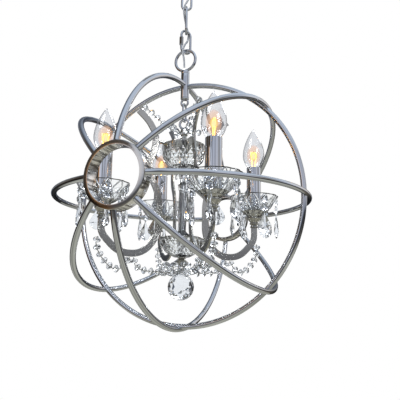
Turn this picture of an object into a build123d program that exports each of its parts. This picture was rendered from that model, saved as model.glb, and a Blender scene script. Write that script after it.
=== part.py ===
from build123d import *
from math import cos, pi, radians, sin, sqrt, tan
import os

# An orb chandelier: a round cage of bent rods hung on a short chain, with a
# four-light crystal candelabra hung on a hook inside it.
# The ceiling face is z = 0 on the cage's vertical axis, and the front is -Y.
# All sizes are in millimetres.

# Cage
cage_radius = 198.5        # centre line of the ribs
hoop_inset = 3.5           # the hoop's centre line lies this far inside the ribs'
rod_dia = 8.5
rod_sides = 6              # a rod's round section is drawn with this many flats
rib_names = ["top", "upper_right", "right", "lower_right", "bottom", "lower_left", "left", "upper_left"]
hub_dia = 90.0
hub_wall = 6.6
hub_depth = 12.0
weld_gap = 0.1
lap_gap = 0.15

# Top tube, which the top ribs and the hoop run into
tube_dia = 14.0
tube_bore = 10.0
tube_drop = 23.0           # below the ribs' centre line
tube_rise = 19.5           # above it
spigot_clearance = 0.1
spigot_length = 7.0
cap_height = 6.0
ring_sink = 2.0            # how deep a welded ring sits in its cap

# Loops, links and rings
hang_gap = 0.3             # between a hung link and the wire that carries it
cage_ring_dia = 41.6
cage_ring_wire = 5.0
quick_length = 45.4
quick_width = 21.6
quick_wire = 4.2
nut_width = 7.6            # across the corners
nut_length = 15.0
nut_sides = 6
nut_clearance = 0.1
link_length = 52.0
link_width = 20.0
link_wire = 3.8
ceiling_ring_dia = 30.0
ceiling_ring_wire = 5.0
upper_link_turn = 24.0     # plan angle of each link's own plane
lower_link_turn = 114.0
quick_turn = 54.0

# Ceiling fitting: the canopy's collar screws on the loop's neck
canopy_dia = 127.0
canopy_depth = 26.0
canopy_wall = 1.2
canopy_shoulder = 30.0     # radius of the dome's flat
bracket_length = 102.0
bracket_width = 19.0
bracket_thick = 2.5
screw_spacing = 70.0
screw_hole_dia = 5.0
nipple_dia = 10.0
nipple_bore = 6.5
nipple_length = 22.0
thread_clearance = 0.05
neck_width = 15.0
neck_top = -10.0
neck_spare = 11.0          # neck below the collar, which lets the canopy down for wiring
collar_dia = 26.0
collar_height = 7.0
slide_clearance = 0.1
canopy_bush_dia = 6.0
bush_height = 3.0
canopy_bush_radius = 24.0

# Supply cord, from the canopy's bush through the links to the bush on the cage's cap
cord_dia = 3.2
cord_sides = 8
cord_bush_dia = 4.2
cord_offset = 4.6          # the lower bush stands this far in front of the ring's plane
cord_route = [
    (-9.8, 21.9, -29.0),
    (-9.8, 21.9, -44.0),
    (-6.6, 18.4, -62.0),
    (-0.9, 10.0, -79.0),
    (2.2, 1.5, -93.0),
    (-1.3, -5.9, -107.5),
    (-2.5, -6.5, -118.0),
    (-1.7, -2.1, -133.0),
    (-0.8, 3.2, -144.5),
    (1.0, 8.3, -154.5),
    (1.3, 5.6, -164.0),
    (2.9, 0.6, -172.5),
    (0.5, -5.1, -180.0),
    (-1.1, -8.1, -189.5),
    (-1.0, -8.5, -198.0),
    (0.0, -6.4, -206.0),
    (0.0, -4.6, -215.2),
    (0.0, -4.6, -223.2),
]

# Hook, link and loop that carry the candelabra
flange_height = 2.5
hook_ring_dia = 15.5
hook_wire = 3.4
inner_link_length = 33.5
inner_link_width = 14.0
inner_link_wire = 3.0
column_ring_dia = 20.0
column_wire = 4.0

# Candelabra column, by height above the candelabra's datum
column_ring_height = 139.0
neck_height = 121.0
neck_foot = 96.0
neck_dia = 12.0
neck_groove = 1.0
stem_dia = 8.0
stem_grip = 8.0            # how far the stem runs into the neck cap
bore_clearance = 0.1
plate_thick = 2.4
upper_plate_height = 93.0
lower_plate_height = -60.0
plate_dia = 60.0
tab_width = 9.0
bowl_dia = 72.0
bowl_wall = 3.5
bowl_waist_dia = 52.0
bowl_foot_dia = 24.0
bowl_sides = 16
upper_bowl_depth = 40.0
lower_bowl_depth = 29.0
glass_column_dia = 16.0
glass_collar_dia = 24.0
glass_waist_dia = 12.0
glass_collar_height = 5.0
glass_column_sides = 8
glass_knob_dia = 26.0
glass_knob_sides = 10
finial_dia = 18.0
finial_neck_dia = 8.0
finial_height = 13.0
finial_ring_dia = 8.5
fine_wire = 1.8
ball_dia = 41.0
ball_sides = 10
pin_length = 7.0

# Arms: flat bars standing on edge
arm_count = 4
arm_turn = 45.0
arm_radius = 128.0
arm_width = 10.5
arm_thick = 3.0
waist_radius = 47.5
belly_radius = 61.0
column_radius = 39.2
scroll_tip = (77.0, 142.0)
scroll_shoulder = (60.0, 127.0)
waist_top = 106.0
waist_foot = 84.0
belly_height = 47.0
column_top = 8.0
column_foot = -57.0
trough_height = -87.0
trough_start = 63.0
trough_end = 100.0
rise_foot = -58.0
arm_seat = -36.0
bend_share = 0.45
seat_gap = 0.2             # between two pieces that touch in one body

# Candle stack
cup_top = -19.0
cup_foot_dia = 13.0
cup_waist_dia = 10.0
cup_rim_dia = 23.0
rosette_dia = 43.0
rosette_rim = -8.0
rosette_wall = 1.6
rosette_floor = 5.5
rosette_well_dia = 29.6
bobeche_dia = 82.0
bobeche_rim = 17.0
bobeche_wall = 2.5
bobeche_bend_dia = 66.0
bobeche_bend_drop = 7.0    # the bend in its wall, below the rim
bobeche_floor_dia = 28.0
scallop_count = 12
scallop_depth = 1.6
sleeve_dia = 24.0
sleeve_wall = 1.0
sleeve_top = 67.5
socket_dia = 18.0
socket_top = 60.0
socket_pin_dia = 6.0
lamp_base_dia = 11.8
lamp_base_length = 18.0
lamp_clearance = 0.25
lamp_dia = 36.8
lamp_belly = 92.0
lamp_tip = 137.0
lamp_neck_dia = 19.0

# Crystals
crystal_sides = 8
crystal_gap = 0.5
octagon_size = 13.0
octagon_thick = 6.0
octagons_per_drop = 2
pear_width = 23.0
pear_length = 36.0
spear_width = 11.0
spear_length = 40.0
drop_thick = 8.0
drop_peak = -0.65          # where its faces meet, as a share of its length
drops_per_bobeche = 6      # pears and spears in turn
drop_inset = 4.0           # in from the bobeche's edge
bead_dia = 9.0
bead_pitch = 11.0
bead_sides = 6
bead_gap = 0.1
outer_swag = [(130.6, -64.0), (122.0, -98.0), (101.0, -111.0), (83.0, -93.0)]
outer_swag_ends = [(0.8, -1.0), (-0.5, 1.0)]
inner_swag = [(76.0, -93.0), (60.0, -112.0), (32.0, -114.0), (9.8, -96.5)]
inner_swag_ends = [(0.0, -1.0), (-0.2, 1.0)]
upper_swag = [(73.2, 146.6), (54.0, 139.0), (30.0, 121.0), (6.8, 115.0)]
upper_swag_ends = [(-1.0, 0.3), (-1.0, 0.1)]


def plan(turn):
    """The level direction in a link's plane, and the normal of that plane."""
    along = Vector(cos(radians(turn)), sin(radians(turn)), 0)
    normal = Vector(sin(radians(turn)), -cos(radians(turn)), 0)
    return along, normal


def upright(turn, height):
    """An upright plane through the axis, its x axis level and its y axis up."""
    along, normal = plan(turn)
    return Plane(origin=(0, 0, height), x_dir=along, z_dir=normal)


def ring(outer_dia, wire):
    """A closed ring of wire in the XY plane."""
    section = Plane.XZ * Pos((outer_dia - wire) / 2, 0) * RegularPolygon(wire / 2, rod_sides)
    return revolve(section, Axis.Z)


def oval(length, width, wire):
    """A long link of wire in the XY plane, with its length along Y."""
    bend = (width - wire) / 2
    straight = length - width
    wire_section = RegularPolygon(wire / 2, rod_sides)
    far_end = Pos(0, straight / 2, 0) * revolve(Plane.XZ * Pos(bend, 0) * wire_section, Axis.Z, 180)
    near_end = mirror(far_end, Plane.XZ)
    bar = extrude(Plane.XZ * wire_section, straight / 2, both=True)
    return far_end + near_end + Pos(bend, 0, 0) * bar + Pos(-bend, 0, 0) * bar


def rod(dia, bottom, top):
    return Pos(0, 0, bottom) * extrude(Circle(dia / 2), top - bottom)


def tube(outer, inner, bottom, top):
    return Pos(0, 0, bottom) * extrude(Circle(outer / 2) - Circle(inner / 2), top - bottom)


def turned(points):
    """A body of revolution about Z from a closed outline of (radius, height) points."""
    return revolve(make_face(Plane.XZ * Polyline(*points, close=True)), Axis.Z)


def flat_sided(levels, outline):
    """A body about Z with flat sides, through the scaled outline at each (radius, height)."""
    rings = [[(r * x, r * y, z) for x, y in outline] for r, z in levels]
    faces = [make_face(Polyline(*end, close=True)) for end in (rings[0], rings[-1])]
    for low, high in zip(rings, rings[1:]):
        for i in range(len(outline)):
            faces.append(make_face(Polyline(low[i], low[i - 1], high[i - 1], high[i], close=True)))
    return Solid(Shell(faces))


def cut_glass(levels, sides):
    steps = [2 * pi * i / sides for i in range(sides)]
    return flat_sided(levels, [(cos(a), sin(a)) for a in steps])


def scalloped(levels):
    """The same, with an outline that dips between its scallops."""
    steps = [pi * i / scallop_count for i in range(2 * scallop_count)]
    reach = [1, 1 - 2 * scallop_depth / bobeche_dia] * scallop_count
    return flat_sided(levels, [(r * cos(a), r * sin(a)) for r, a in zip(reach, steps)])


def crystal(outline, thick, peak):
    """A flat cut crystal in the XZ plane, with both faces rising to a point at the peak's height."""
    rim = make_face(Plane.XZ * Polyline(*outline, close=True))
    return loft([Vertex(0, -thick / 2, peak), rim, Vertex(0, thick / 2, peak)], ruled=True)


def octagon_crystal(size):
    """An octagon that hangs from one corner at the origin."""
    r = size / 2
    steps = [2 * pi * i / crystal_sides for i in range(crystal_sides)]
    return crystal([(r * sin(a), r * cos(a) - r) for a in steps], octagon_thick, -r)


def drop_crystal(half, width, length):
    """A drop crystal from the right half of its outline, in shares of its width and length."""
    right = [(width * x, length * z) for x, z in half]
    left = [(-x, z) for x, z in reversed(right)]
    return crystal([(0, 0)] + right + left, drop_thick, drop_peak * length)


def pear_crystal(width, length):
    """A pear drop that hangs from its point at the origin."""
    half = [(0.22, -0.3), (0.46, -0.6), (0.44, -0.78), (0.2, -1.0)]
    return drop_crystal(half, width, length)


def spear_crystal(width, length):
    """A slender drop with a narrow waist above its point."""
    half = [(0.3, -0.08), (0.24, -0.45), (0.5, -0.78), (0.12, -1.0)]
    return drop_crystal(half, width, length)


def bead(dia, length):
    """A cut bead, pointed at both ends, with its length along Z."""
    ends = [Vertex(0, 0, -length / 2), Vertex(0, 0, length / 2)]
    return loft([ends[0], RegularPolygon(dia / 2, bead_sides), ends[1]], ruled=True)


def bend_radii(points):
    """The largest arcs that the runs on each side of a corner allow."""
    places = [Vector(*p) for p in points]
    runs = [b - a for a, b in zip(places, places[1:])]
    return [
        bend_share * min(a.length, b.length) / tan(radians(a.get_angle(b)) / 2)
        for a, b in zip(runs, runs[1:])
    ]


def around(shape, count, start=0.0):
    return [Rot(Z=start + 360 / count * i) * shape for i in range(count)]


def save(name, shape):
    export_step(shape, f"parts/{name}.step")


os.makedirs("parts", exist_ok=True)

# Heights of the hanging stack, from the ceiling down
canopy_bottom = -canopy_depth
collar_bottom = canopy_bottom - collar_height
neck_bottom = collar_bottom - neck_spare
ceiling_ring_top = neck_bottom + ring_sink
ceiling_ring_bottom = ceiling_ring_top - ceiling_ring_dia
upper_link_top = ceiling_ring_bottom + ceiling_ring_wire + hang_gap + link_wire
upper_link_bottom = upper_link_top - link_length
lower_link_top = upper_link_bottom + 2 * link_wire + hang_gap
lower_link_bottom = lower_link_top - link_length
quick_top = lower_link_bottom + link_wire + hang_gap + quick_wire
quick_bottom = quick_top - quick_length
cage_ring_top = quick_bottom + quick_wire + hang_gap + cage_ring_wire
cage_ring_bottom = cage_ring_top - cage_ring_dia
cap_top = cage_ring_bottom + ring_sink
tube_top = cap_top - cap_height
rib_top = tube_top - tube_rise
cage_z = rib_top - cage_radius
tube_bottom = rib_top - tube_drop
flange_bottom = tube_bottom - flange_height
hook_top = flange_bottom + ring_sink
hook_bottom = hook_top - hook_ring_dia
inner_link_top = hook_bottom + hook_wire + hang_gap + inner_link_wire
inner_link_bottom = inner_link_top - inner_link_length
column_ring_top = inner_link_bottom + inner_link_wire + hang_gap + column_wire
datum = column_ring_top - column_ring_height

# Ceiling fitting: a bracket, a threaded nipple, the loop with its neck, the canopy and its collar
neck_hole = neck_width / 2 + slide_clearance
dome_outline = [
    (canopy_dia / 2, 0),
    (canopy_shoulder, canopy_bottom),
    (neck_hole, canopy_bottom),
    (neck_hole, canopy_bottom + canopy_wall),
    (canopy_shoulder, canopy_bottom + canopy_wall),
    (canopy_dia / 2 - canopy_wall, 0),
]
upper_along, upper_normal = plan(upper_link_turn)
canopy_bush = rod(canopy_bush_dia, canopy_bottom - bush_height, canopy_bottom + canopy_wall)
save("canopy", turned(dome_outline) + Pos(-canopy_bush_radius * upper_normal) * canopy_bush)

bracket = Pos(0, 0, -bracket_thick) * extrude(Rectangle(bracket_length, bracket_width), bracket_thick)
bracket -= rod(nipple_dia + 2 * thread_clearance, -bracket_thick, 0)
for side in (-1, 1):
    bracket -= Pos(side * screw_spacing / 2, 0, 0) * rod(screw_hole_dia, -bracket_thick, 0)
save("mounting_bracket", bracket)
save("canopy_nipple", tube(nipple_dia, nipple_bore, -nipple_length, 0))
save("canopy_collar", tube(collar_dia, 2 * neck_hole, collar_bottom, canopy_bottom))

neck = rod(neck_width, neck_bottom, neck_top)
neck -= rod(nipple_dia + 2 * thread_clearance, -nipple_length - seat_gap, neck_top)
ceiling_ring_centre = ceiling_ring_top - ceiling_ring_dia / 2
ceiling_ring = upright(lower_link_turn, ceiling_ring_centre) * ring(ceiling_ring_dia, ceiling_ring_wire)
save("canopy_loop", neck + ceiling_ring)

# Chain: two long links and a quick link, whose nut sits on the left bar
long_link = oval(link_length, link_width, link_wire)
save("chain_link_upper", upright(upper_link_turn, upper_link_top - link_length / 2) * long_link)
save("chain_link_lower", upright(lower_link_turn, lower_link_top - link_length / 2) * long_link)

quick_plane = upright(quick_turn, quick_top - quick_length / 2)
save("quick_link", quick_plane * oval(quick_length, quick_width, quick_wire))
nut_section = RegularPolygon(nut_width / 2, nut_sides) - Circle(quick_wire / 2 + nut_clearance)
nut = extrude(Plane.XZ * nut_section, nut_length / 2, both=True)
save("quick_link_nut", quick_plane * Pos((quick_wire - quick_width) / 2, 0, 0) * nut)

# Cage ring on its cap, whose spigot fills the top tube's bore
spigot_dia = tube_bore - 2 * spigot_clearance
cage_loop = upright(0, cage_ring_top - cage_ring_dia / 2) * ring(cage_ring_dia, cage_ring_wire)
cage_loop += rod(tube_dia, tube_top, cap_top)
cage_loop += rod(spigot_dia, tube_top - spigot_length, tube_top)
cage_loop += Pos(0, -cord_offset, 0) * rod(cord_bush_dia, cap_top, cap_top + bush_height)
save("cage_loop", cage_loop)
save("top_tube", tube(tube_dia, tube_bore, tube_bottom, tube_top))

# The cord is straight runs joined by tangent arcs
cord_radii = bend_radii(cord_route)
cord_path = FilletPolyline(*cord_route, radius=cord_radii)
cord_start = Plane(origin=cord_path @ 0, z_dir=cord_path % 0)
cord_section = RegularPolygon(cord_dia / 2, cord_sides)
cord = sweep(cord_start * cord_section, path=cord_path)
save("supply_cord", cord)
print("cord radii", [round(r, 1) for r in cord_radii], "length", round(cord_path.length, 1))
print("cord volume", round(cord.volume), "section x length", round(cord_section.area * cord_path.length))

# Ribs run from the front hub to the rear one, and stop square on the tube at the top
cage = Pos(0, 0, cage_z)
rib_step = 360 / len(rib_names)
hub_centre = sqrt(cage_radius**2 - (hub_dia / 2) ** 2)
rib_section = Plane.XY * Pos(0, -cage_radius) * RegularPolygon(rod_dia / 2, rod_sides, rotation=90)
rib = revolve(rib_section, Axis((0, 0, 0), (-1, 0, 0)), 180)
rib -= Cylinder(hub_dia / 2 + weld_gap, 3 * cage_radius, rotation=(90, 0, 0))
tube_clear = rod(tube_dia + 2 * weld_gap, cage_radius - tube_drop, cage_radius + tube_rise)
for index, name in enumerate(rib_names):
    turned_rib = Rot(Y=rib_step * index) * rib
    if name == "top":
        turned_rib -= tube_clear
    save(f"rib_{name}", cage * turned_rib)

hub = Cylinder(hub_dia / 2, hub_depth, rotation=(90, 0, 0))
hub -= Cylinder(hub_dia / 2 - hub_wall, 2 * hub_depth, rotation=(90, 0, 0))
save("hub_ring_front", cage * Pos(0, -hub_centre, 0) * hub)
save("hub_ring_rear", cage * Pos(0, hub_centre, 0) * hub)

# The hoop is notched where each rib crosses outside it
hoop_section = Plane.XY * Pos(cage_radius - hoop_inset, 0) * RegularPolygon(rod_dia / 2, rod_sides)
hoop = revolve(hoop_section, Axis.Y)
notch = Pos(0, 0, cage_radius) * Cylinder(rod_dia / 2 + lap_gap, 2 * rod_dia, rotation=(90, 0, 0))
for index in range(1, len(rib_names)):
    hoop -= Rot(Y=rib_step * index) * notch
save("cage_hoop", cage * (hoop - tube_clear))

# Hook, link and loop inside the cage
hook = upright(0, hook_top - hook_ring_dia / 2) * ring(hook_ring_dia, hook_wire)
hook += rod(tube_dia, flange_bottom, tube_bottom)
hook += rod(spigot_dia, tube_bottom, tube_bottom + spigot_length)
save("candelabra_hook", hook)
inner_link = oval(inner_link_length, inner_link_width, inner_link_wire)
save("candelabra_link", upright(90, inner_link_top - inner_link_length / 2) * inner_link)

# Column: neck, stem, plates, bowls and glass, drawn about the candelabra's datum
lights = Pos(0, 0, datum)
neck_middle = (neck_foot + neck_height) / 2
neck_outline = [
    (0, neck_foot),
    (neck_dia / 2, neck_foot),
    (neck_dia / 2, neck_middle - neck_groove),
    (neck_dia / 2 - neck_groove, neck_middle),
    (neck_dia / 2, neck_middle + neck_groove),
    (neck_dia / 2, neck_height),
    (0, neck_height),
]
stem_top = neck_foot + stem_grip
neck_cap = turned(neck_outline) - rod(stem_dia + 2 * thread_clearance, neck_foot, stem_top + seat_gap)
neck_cap += upright(0, column_ring_height - column_ring_dia / 2) * ring(column_ring_dia, column_wire)
save("neck_cap", lights * neck_cap)

upper_rim = upper_plate_height - plate_thick / 2
upper_foot = upper_rim - upper_bowl_depth
lower_rim = lower_plate_height - plate_thick / 2
lower_foot = lower_rim - lower_bowl_depth
finial_bottom = lower_foot - finial_height
stem_bottom = lower_foot - stem_grip
stem_hole = rod(stem_dia + 2 * bore_clearance, lower_foot - 1, neck_foot)
save("column_stem", lights * rod(stem_dia, stem_bottom, stem_top))


def spider(reach, height):
    """A round plate on the stem, with one tab out to each arm."""
    tab = Pos(reach / 2, 0) * Rectangle(reach, tab_width)
    plate = extrude(Circle(plate_dia / 2) + around(tab, arm_count, arm_turn), plate_thick / 2, both=True)
    return Pos(0, 0, height) * plate - stem_hole


tab_gap = arm_width / 2 + seat_gap
save("upper_plate", lights * spider(waist_radius - tab_gap, upper_plate_height))
save("lower_plate", lights * spider(column_radius - tab_gap, lower_plate_height))


def bowl(rim, depth):
    """A cut-glass bowl: a flared wall over a solid foot bored for the stem."""
    waist = rim - depth * 2 / 3
    low = rim - depth
    outside = [(bowl_foot_dia / 2, low), (bowl_waist_dia / 2, waist), (bowl_dia / 2, rim)]
    inside = [
        (bowl_foot_dia / 2 - bowl_wall / 2, low + bowl_wall),
        (bowl_waist_dia / 2 - bowl_wall, waist + bowl_wall / 2),
        (bowl_dia / 2 - bowl_wall, rim),
    ]
    return cut_glass(outside, bowl_sides) - cut_glass(inside, bowl_sides) - stem_hole


save("upper_bowl", lights * bowl(upper_rim, upper_bowl_depth))
save("lower_bowl", lights * bowl(lower_rim, lower_bowl_depth))

# Glass column and knob between the lower plate and the upper bowl's foot
pillar_foot = lower_plate_height + plate_thick / 2
pillar_top = upper_foot - glass_knob_dia
pillar_middle = (pillar_foot + pillar_top) / 2
pillar_levels = [
    (glass_collar_dia / 2, pillar_foot),
    (glass_collar_dia / 2, pillar_foot + glass_collar_height),
    (glass_waist_dia / 2, pillar_foot + 2 * glass_collar_height),
    (glass_column_dia / 2, pillar_middle),
    (glass_waist_dia / 2, pillar_top - 2 * glass_collar_height),
    (glass_column_dia / 2, pillar_top - glass_collar_height),
    (glass_column_dia / 2, pillar_top),
]
save("glass_column", lights * (cut_glass(pillar_levels, glass_column_sides) - stem_hole))


def cut_ball(dia, sides, middle):
    """A faceted ball: its bands stand at every 30 degrees, up to 60."""
    bands = [radians(a) for a in (-60, -30, 0, 30, 60)]
    return cut_glass([(dia / 2 * cos(a), middle + dia / 2 * sin(a) / sin(bands[-1])) for a in bands], sides)


knob = cut_ball(glass_knob_dia, glass_knob_sides, upper_foot - glass_knob_dia / 2)
save("glass_knob", lights * (knob - stem_hole))

# Finial under the lower bowl, with an eye for the crystal ball
finial_outline = [
    (0, lower_foot),
    (finial_dia / 3, lower_foot),
    (finial_dia / 3, lower_foot - finial_height / 4),
    (finial_dia / 2, lower_foot - finial_height / 2),
    (finial_neck_dia / 2, finial_bottom + seat_gap),
    (finial_neck_dia / 2, finial_bottom),
    (0, finial_bottom),
]
finial = turned(finial_outline) - rod(stem_dia + 2 * thread_clearance, stem_bottom - seat_gap, lower_foot)
eye_sink = fine_wire / 2
eye_centre = finial_bottom + eye_sink - finial_ring_dia / 2
save("finial", lights * (finial + upright(0, eye_centre) * ring(finial_ring_dia, fine_wire)))

ball_ring_top = eye_centre - finial_ring_dia / 2 + 2 * fine_wire + hang_gap
ball_ring_bottom = ball_ring_top - finial_ring_dia
ball_top = ball_ring_bottom - seat_gap
pin = rod(fine_wire, ball_top - pin_length, ball_ring_bottom + eye_sink)
pin += upright(90, ball_ring_top - finial_ring_dia / 2) * ring(finial_ring_dia, fine_wire)
save("ball_pin", lights * pin)
ball = cut_ball(ball_dia, ball_sides, ball_top - ball_dia / 2)
pin_hole = rod(fine_wire + 2 * bore_clearance, ball_top - pin_length - seat_gap, ball_top)
save("crystal_ball", lights * (ball - pin_hole))

# Arms: one flat bar each, from the scroll at the top to the seat under the candle
arm_points = [
    scroll_tip,
    scroll_shoulder,
    (waist_radius, waist_top),
    (waist_radius, waist_foot),
    (belly_radius, belly_height),
    (column_radius, column_top),
    (column_radius, column_foot),
    (trough_start, trough_height),
    (trough_end, trough_height),
    (arm_radius, rise_foot),
    (arm_radius, arm_seat),
]
arm_path = Plane.XZ * FilletPolyline(*arm_points, radius=bend_radii(arm_points))
arm_start = Plane(origin=arm_path @ 0, x_dir=(0, 1, 0), z_dir=arm_path % 0)
arm = sweep(arm_start * Rectangle(arm_thick, arm_width), path=arm_path)

# Candle stack, drawn on the candle's own axis
cup_outline = [
    (0, arm_seat),
    (cup_foot_dia / 2, arm_seat),
    (cup_waist_dia / 2, (2 * arm_seat + cup_top) / 3),
    (cup_rim_dia / 2, cup_top),
    (0, cup_top),
]
pin_bore = rod(socket_pin_dia + 2 * bore_clearance, arm_seat, bobeche_rim)
cup = turned(cup_outline) - pin_bore

floor_bottom = cup_top + rosette_floor
rosette = scalloped([(cup_rim_dia / 2, cup_top), (rosette_dia / 2, rosette_rim)])
rosette_inside = [(rosette_well_dia / 2, floor_bottom), (rosette_dia / 2 - rosette_wall, rosette_rim)]
rosette -= cut_glass(rosette_inside, 2 * scallop_count)
rosette -= pin_bore

floor = floor_bottom + bobeche_wall
bend_height = bobeche_rim - bobeche_bend_drop
bobeche = scalloped(
    [
        (bobeche_floor_dia / 2, floor_bottom),
        (bobeche_bend_dia / 2, bend_height),
        (bobeche_dia / 2, bobeche_rim),
    ]
)
bobeche -= cut_glass(
    [
        (bobeche_floor_dia / 2 - bobeche_wall / 2, floor),
        (bobeche_bend_dia / 2 - bobeche_wall, bend_height + bobeche_wall / 2),
        (bobeche_dia / 2 - bobeche_wall, bobeche_rim),
    ],
    scallop_count,
)
bobeche -= pin_bore

sleeve = tube(sleeve_dia, sleeve_dia - 2 * sleeve_wall, floor, sleeve_top)

base_bottom = socket_top - lamp_base_length
socket = rod(socket_dia, floor, socket_top)
socket -= rod(lamp_base_dia + 2 * lamp_clearance, base_bottom - seat_gap, socket_top)
socket += rod(socket_pin_dia, arm_seat + seat_gap, floor)

glass_span = lamp_tip - lamp_belly
lamp_outline = [
    (0, base_bottom),
    (lamp_base_dia / 2, base_bottom),
    (lamp_base_dia / 2, socket_top + seat_gap),
    (lamp_neck_dia / 2, sleeve_top),
    (lamp_dia / 2, lamp_belly),
    (0.86 * lamp_dia / 2, lamp_belly + glass_span / 3),
    (0.4 * lamp_dia / 2, lamp_belly + 0.8 * glass_span),
    (0, lamp_tip),
]
lamp = turned(lamp_outline)

# Crystals: drops under each bobeche's edge, two bead swags under each arm and one over it
drop_radius = bobeche_dia / 2 - drop_inset
edge_slope = bobeche_bend_drop / (bobeche_dia / 2 - bobeche_bend_dia / 2)
drop_top = bobeche_rim - drop_inset * edge_slope - crystal_gap
pendant_top = drop_top - octagons_per_drop * (octagon_size + crystal_gap)
pear = Pos(drop_radius, 0, pendant_top) * Rot(Z=90) * pear_crystal(pear_width, pear_length)
spear = Pos(drop_radius, 0, pendant_top) * Rot(Z=90) * spear_crystal(spear_width, spear_length)
first_drop = 180 / drops_per_bobeche
drops = []
for index in range(octagons_per_drop):
    octagon_top = drop_top - index * (octagon_size + crystal_gap)
    octagon = Pos(drop_radius, 0, octagon_top) * Rot(Z=90) * octagon_crystal(octagon_size)
    drops += around(octagon, drops_per_bobeche, first_drop)
drops += around(pear, drops_per_bobeche // 2, first_drop)
drops += around(spear, drops_per_bobeche // 2, 3 * first_drop)


def swag(points, ends):
    """Beads along a curve in the arm's own upright plane."""
    line = Plane.XZ * Spline(*points, tangents=ends)
    count = int(line.length / bead_pitch)
    spots = [(i + 0.5) / count for i in range(count)]
    one = bead(bead_dia, line.length / count - bead_gap)
    return [Plane(origin=line @ spot, z_dir=line % spot) * one for spot in spots]


swags = swag(outer_swag, outer_swag_ends) + swag(inner_swag, inner_swag_ends)
swags += swag(upper_swag, upper_swag_ends)

side_names = ["rear_right", "rear_left", "front_left", "front_right"]
groups = {"vase_cups": [], "rosettes": [], "sockets": [], "bead_swags": []}
for index, side in enumerate(side_names):
    turn = lights * Rot(Z=arm_turn + 360 / arm_count * index)
    spot = turn * Pos(arm_radius, 0, 0)
    save(f"arm_{side}", turn * arm)
    save(f"bobeche_{side}", spot * bobeche)
    save(f"candle_sleeve_{side}", spot * sleeve)
    save(f"lamp_{side}", spot * lamp)
    save(f"drops_{side}", Compound([spot * piece for piece in drops]))
    groups["vase_cups"].append(spot * cup)
    groups["rosettes"].append(spot * rosette)
    groups["sockets"].append(spot * socket)
    groups["bead_swags"] += [turn * piece for piece in swags]
for name, pieces in groups.items():
    save(name, Compound(pieces))
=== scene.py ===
from math import acos, asin, cos, pi, radians, sin

import bmesh
import bpy
from mathutils import Matrix, Vector


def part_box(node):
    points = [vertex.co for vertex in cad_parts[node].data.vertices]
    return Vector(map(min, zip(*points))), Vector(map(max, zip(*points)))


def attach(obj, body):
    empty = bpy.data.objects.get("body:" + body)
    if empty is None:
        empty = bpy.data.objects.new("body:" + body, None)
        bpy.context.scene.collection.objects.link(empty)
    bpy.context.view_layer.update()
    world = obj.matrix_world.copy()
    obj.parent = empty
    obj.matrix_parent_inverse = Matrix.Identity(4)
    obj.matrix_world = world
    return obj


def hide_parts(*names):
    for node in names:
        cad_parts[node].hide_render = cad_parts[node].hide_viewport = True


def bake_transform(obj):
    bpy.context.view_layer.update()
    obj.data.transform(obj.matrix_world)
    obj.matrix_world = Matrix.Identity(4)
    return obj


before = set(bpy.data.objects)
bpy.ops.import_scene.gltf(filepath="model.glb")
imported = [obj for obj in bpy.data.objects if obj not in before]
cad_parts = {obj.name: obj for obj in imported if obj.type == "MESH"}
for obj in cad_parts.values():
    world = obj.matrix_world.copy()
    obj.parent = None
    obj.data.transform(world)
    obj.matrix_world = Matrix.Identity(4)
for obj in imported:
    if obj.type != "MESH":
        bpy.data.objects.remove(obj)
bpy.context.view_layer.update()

# An orb chandelier: a cage of bent chrome rods with a crystal candelabra hung inside it.
# Sizes are real millimetres unless a note says otherwise.
# Meshes are scaled to metres when they are placed.
mm = 0.001
upwards = Vector((0, 0, 1))
forwards = Vector((0, 1, 0))


# The lowest and highest corner of a CAD node, in millimetres
def boxOf(node):
    low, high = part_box(node)
    return low / mm, high / mm


def middleOf(node):
    low, high = boxOf(node)
    return (low + high) / 2


def levelsOf(node):
    return [corner.z for corner in boxOf(node)]


# A CAD name in a piece's own style, as in frontLeft
def tagOf(name):
    return "".join(word.capitalize() for word in name.split("_"))


cageCentre = Vector((0, 0, middleOf("hub_ring_front").z))
sides = ["rear_right", "rear_left", "front_left", "front_right"]
candleSpots = {side: Vector((*middleOf(f"candle_sleeve_{side}").xy, 0)) for side in sides}
# The candelabra's own heights start from a datum below the tops of its sockets
lampBaseLength, socketHeight = 18.0, 60.0
datum = boxOf("lamp_front_right")[0].z + lampBaseLength - socketHeight
print("frame loaded")


# A hex sRGB colour as linear RGBA
def linear(code):
    shares = [int(code[i:i + 2], 16) / 255 for i in (1, 3, 5)]
    return (*[s / 12.92 if s <= 0.04045 else ((s + 0.055) / 1.055) ** 2.4 for s in shares], 1.0)


# One shader node: settings are its own properties, inputs its sockets' values or the links into them
def addNode(tree, kind, inputs={}, **settings):
    new = tree.nodes.new(kind)
    for name, value in settings.items():
        setattr(new, name, value)
    for name, value in inputs.items():
        if isinstance(value, bpy.types.NodeSocket):
            tree.links.new(value, new.inputs[name])
        else:
            new.inputs[name].default_value = value
    return new


# A new material with its Principled shader on the output
def newMaterial(name, **inputs):
    material = bpy.data.materials.new(name)
    material.use_nodes = True
    tree = material.node_tree
    tree.nodes.clear()
    shader = addNode(tree, "ShaderNodeBsdfPrincipled", inputs)
    addNode(tree, "ShaderNodeOutputMaterial", {"Surface": shader.outputs[0]})
    return material, tree, shader


# Noise on Object coordinates, stretched along an axis, remapped to a range
def grain(tree, grainSize, stretch, low, high):
    where = addNode(tree, "ShaderNodeTexCoord").outputs["Object"]
    scale = [s / (grainSize * mm) for s in stretch]
    scaled = addNode(tree, "ShaderNodeMapping", {"Vector": where, "Scale": scale})
    noise = addNode(tree, "ShaderNodeTexNoise", {"Vector": scaled.outputs[0], "Scale": 1.0, "Detail": 3.0})
    ends = {"To Min": low, "To Max": high}
    return addNode(tree, "ShaderNodeMapRange", {"Value": noise.outputs[0], **ends}).outputs[0]


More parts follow.
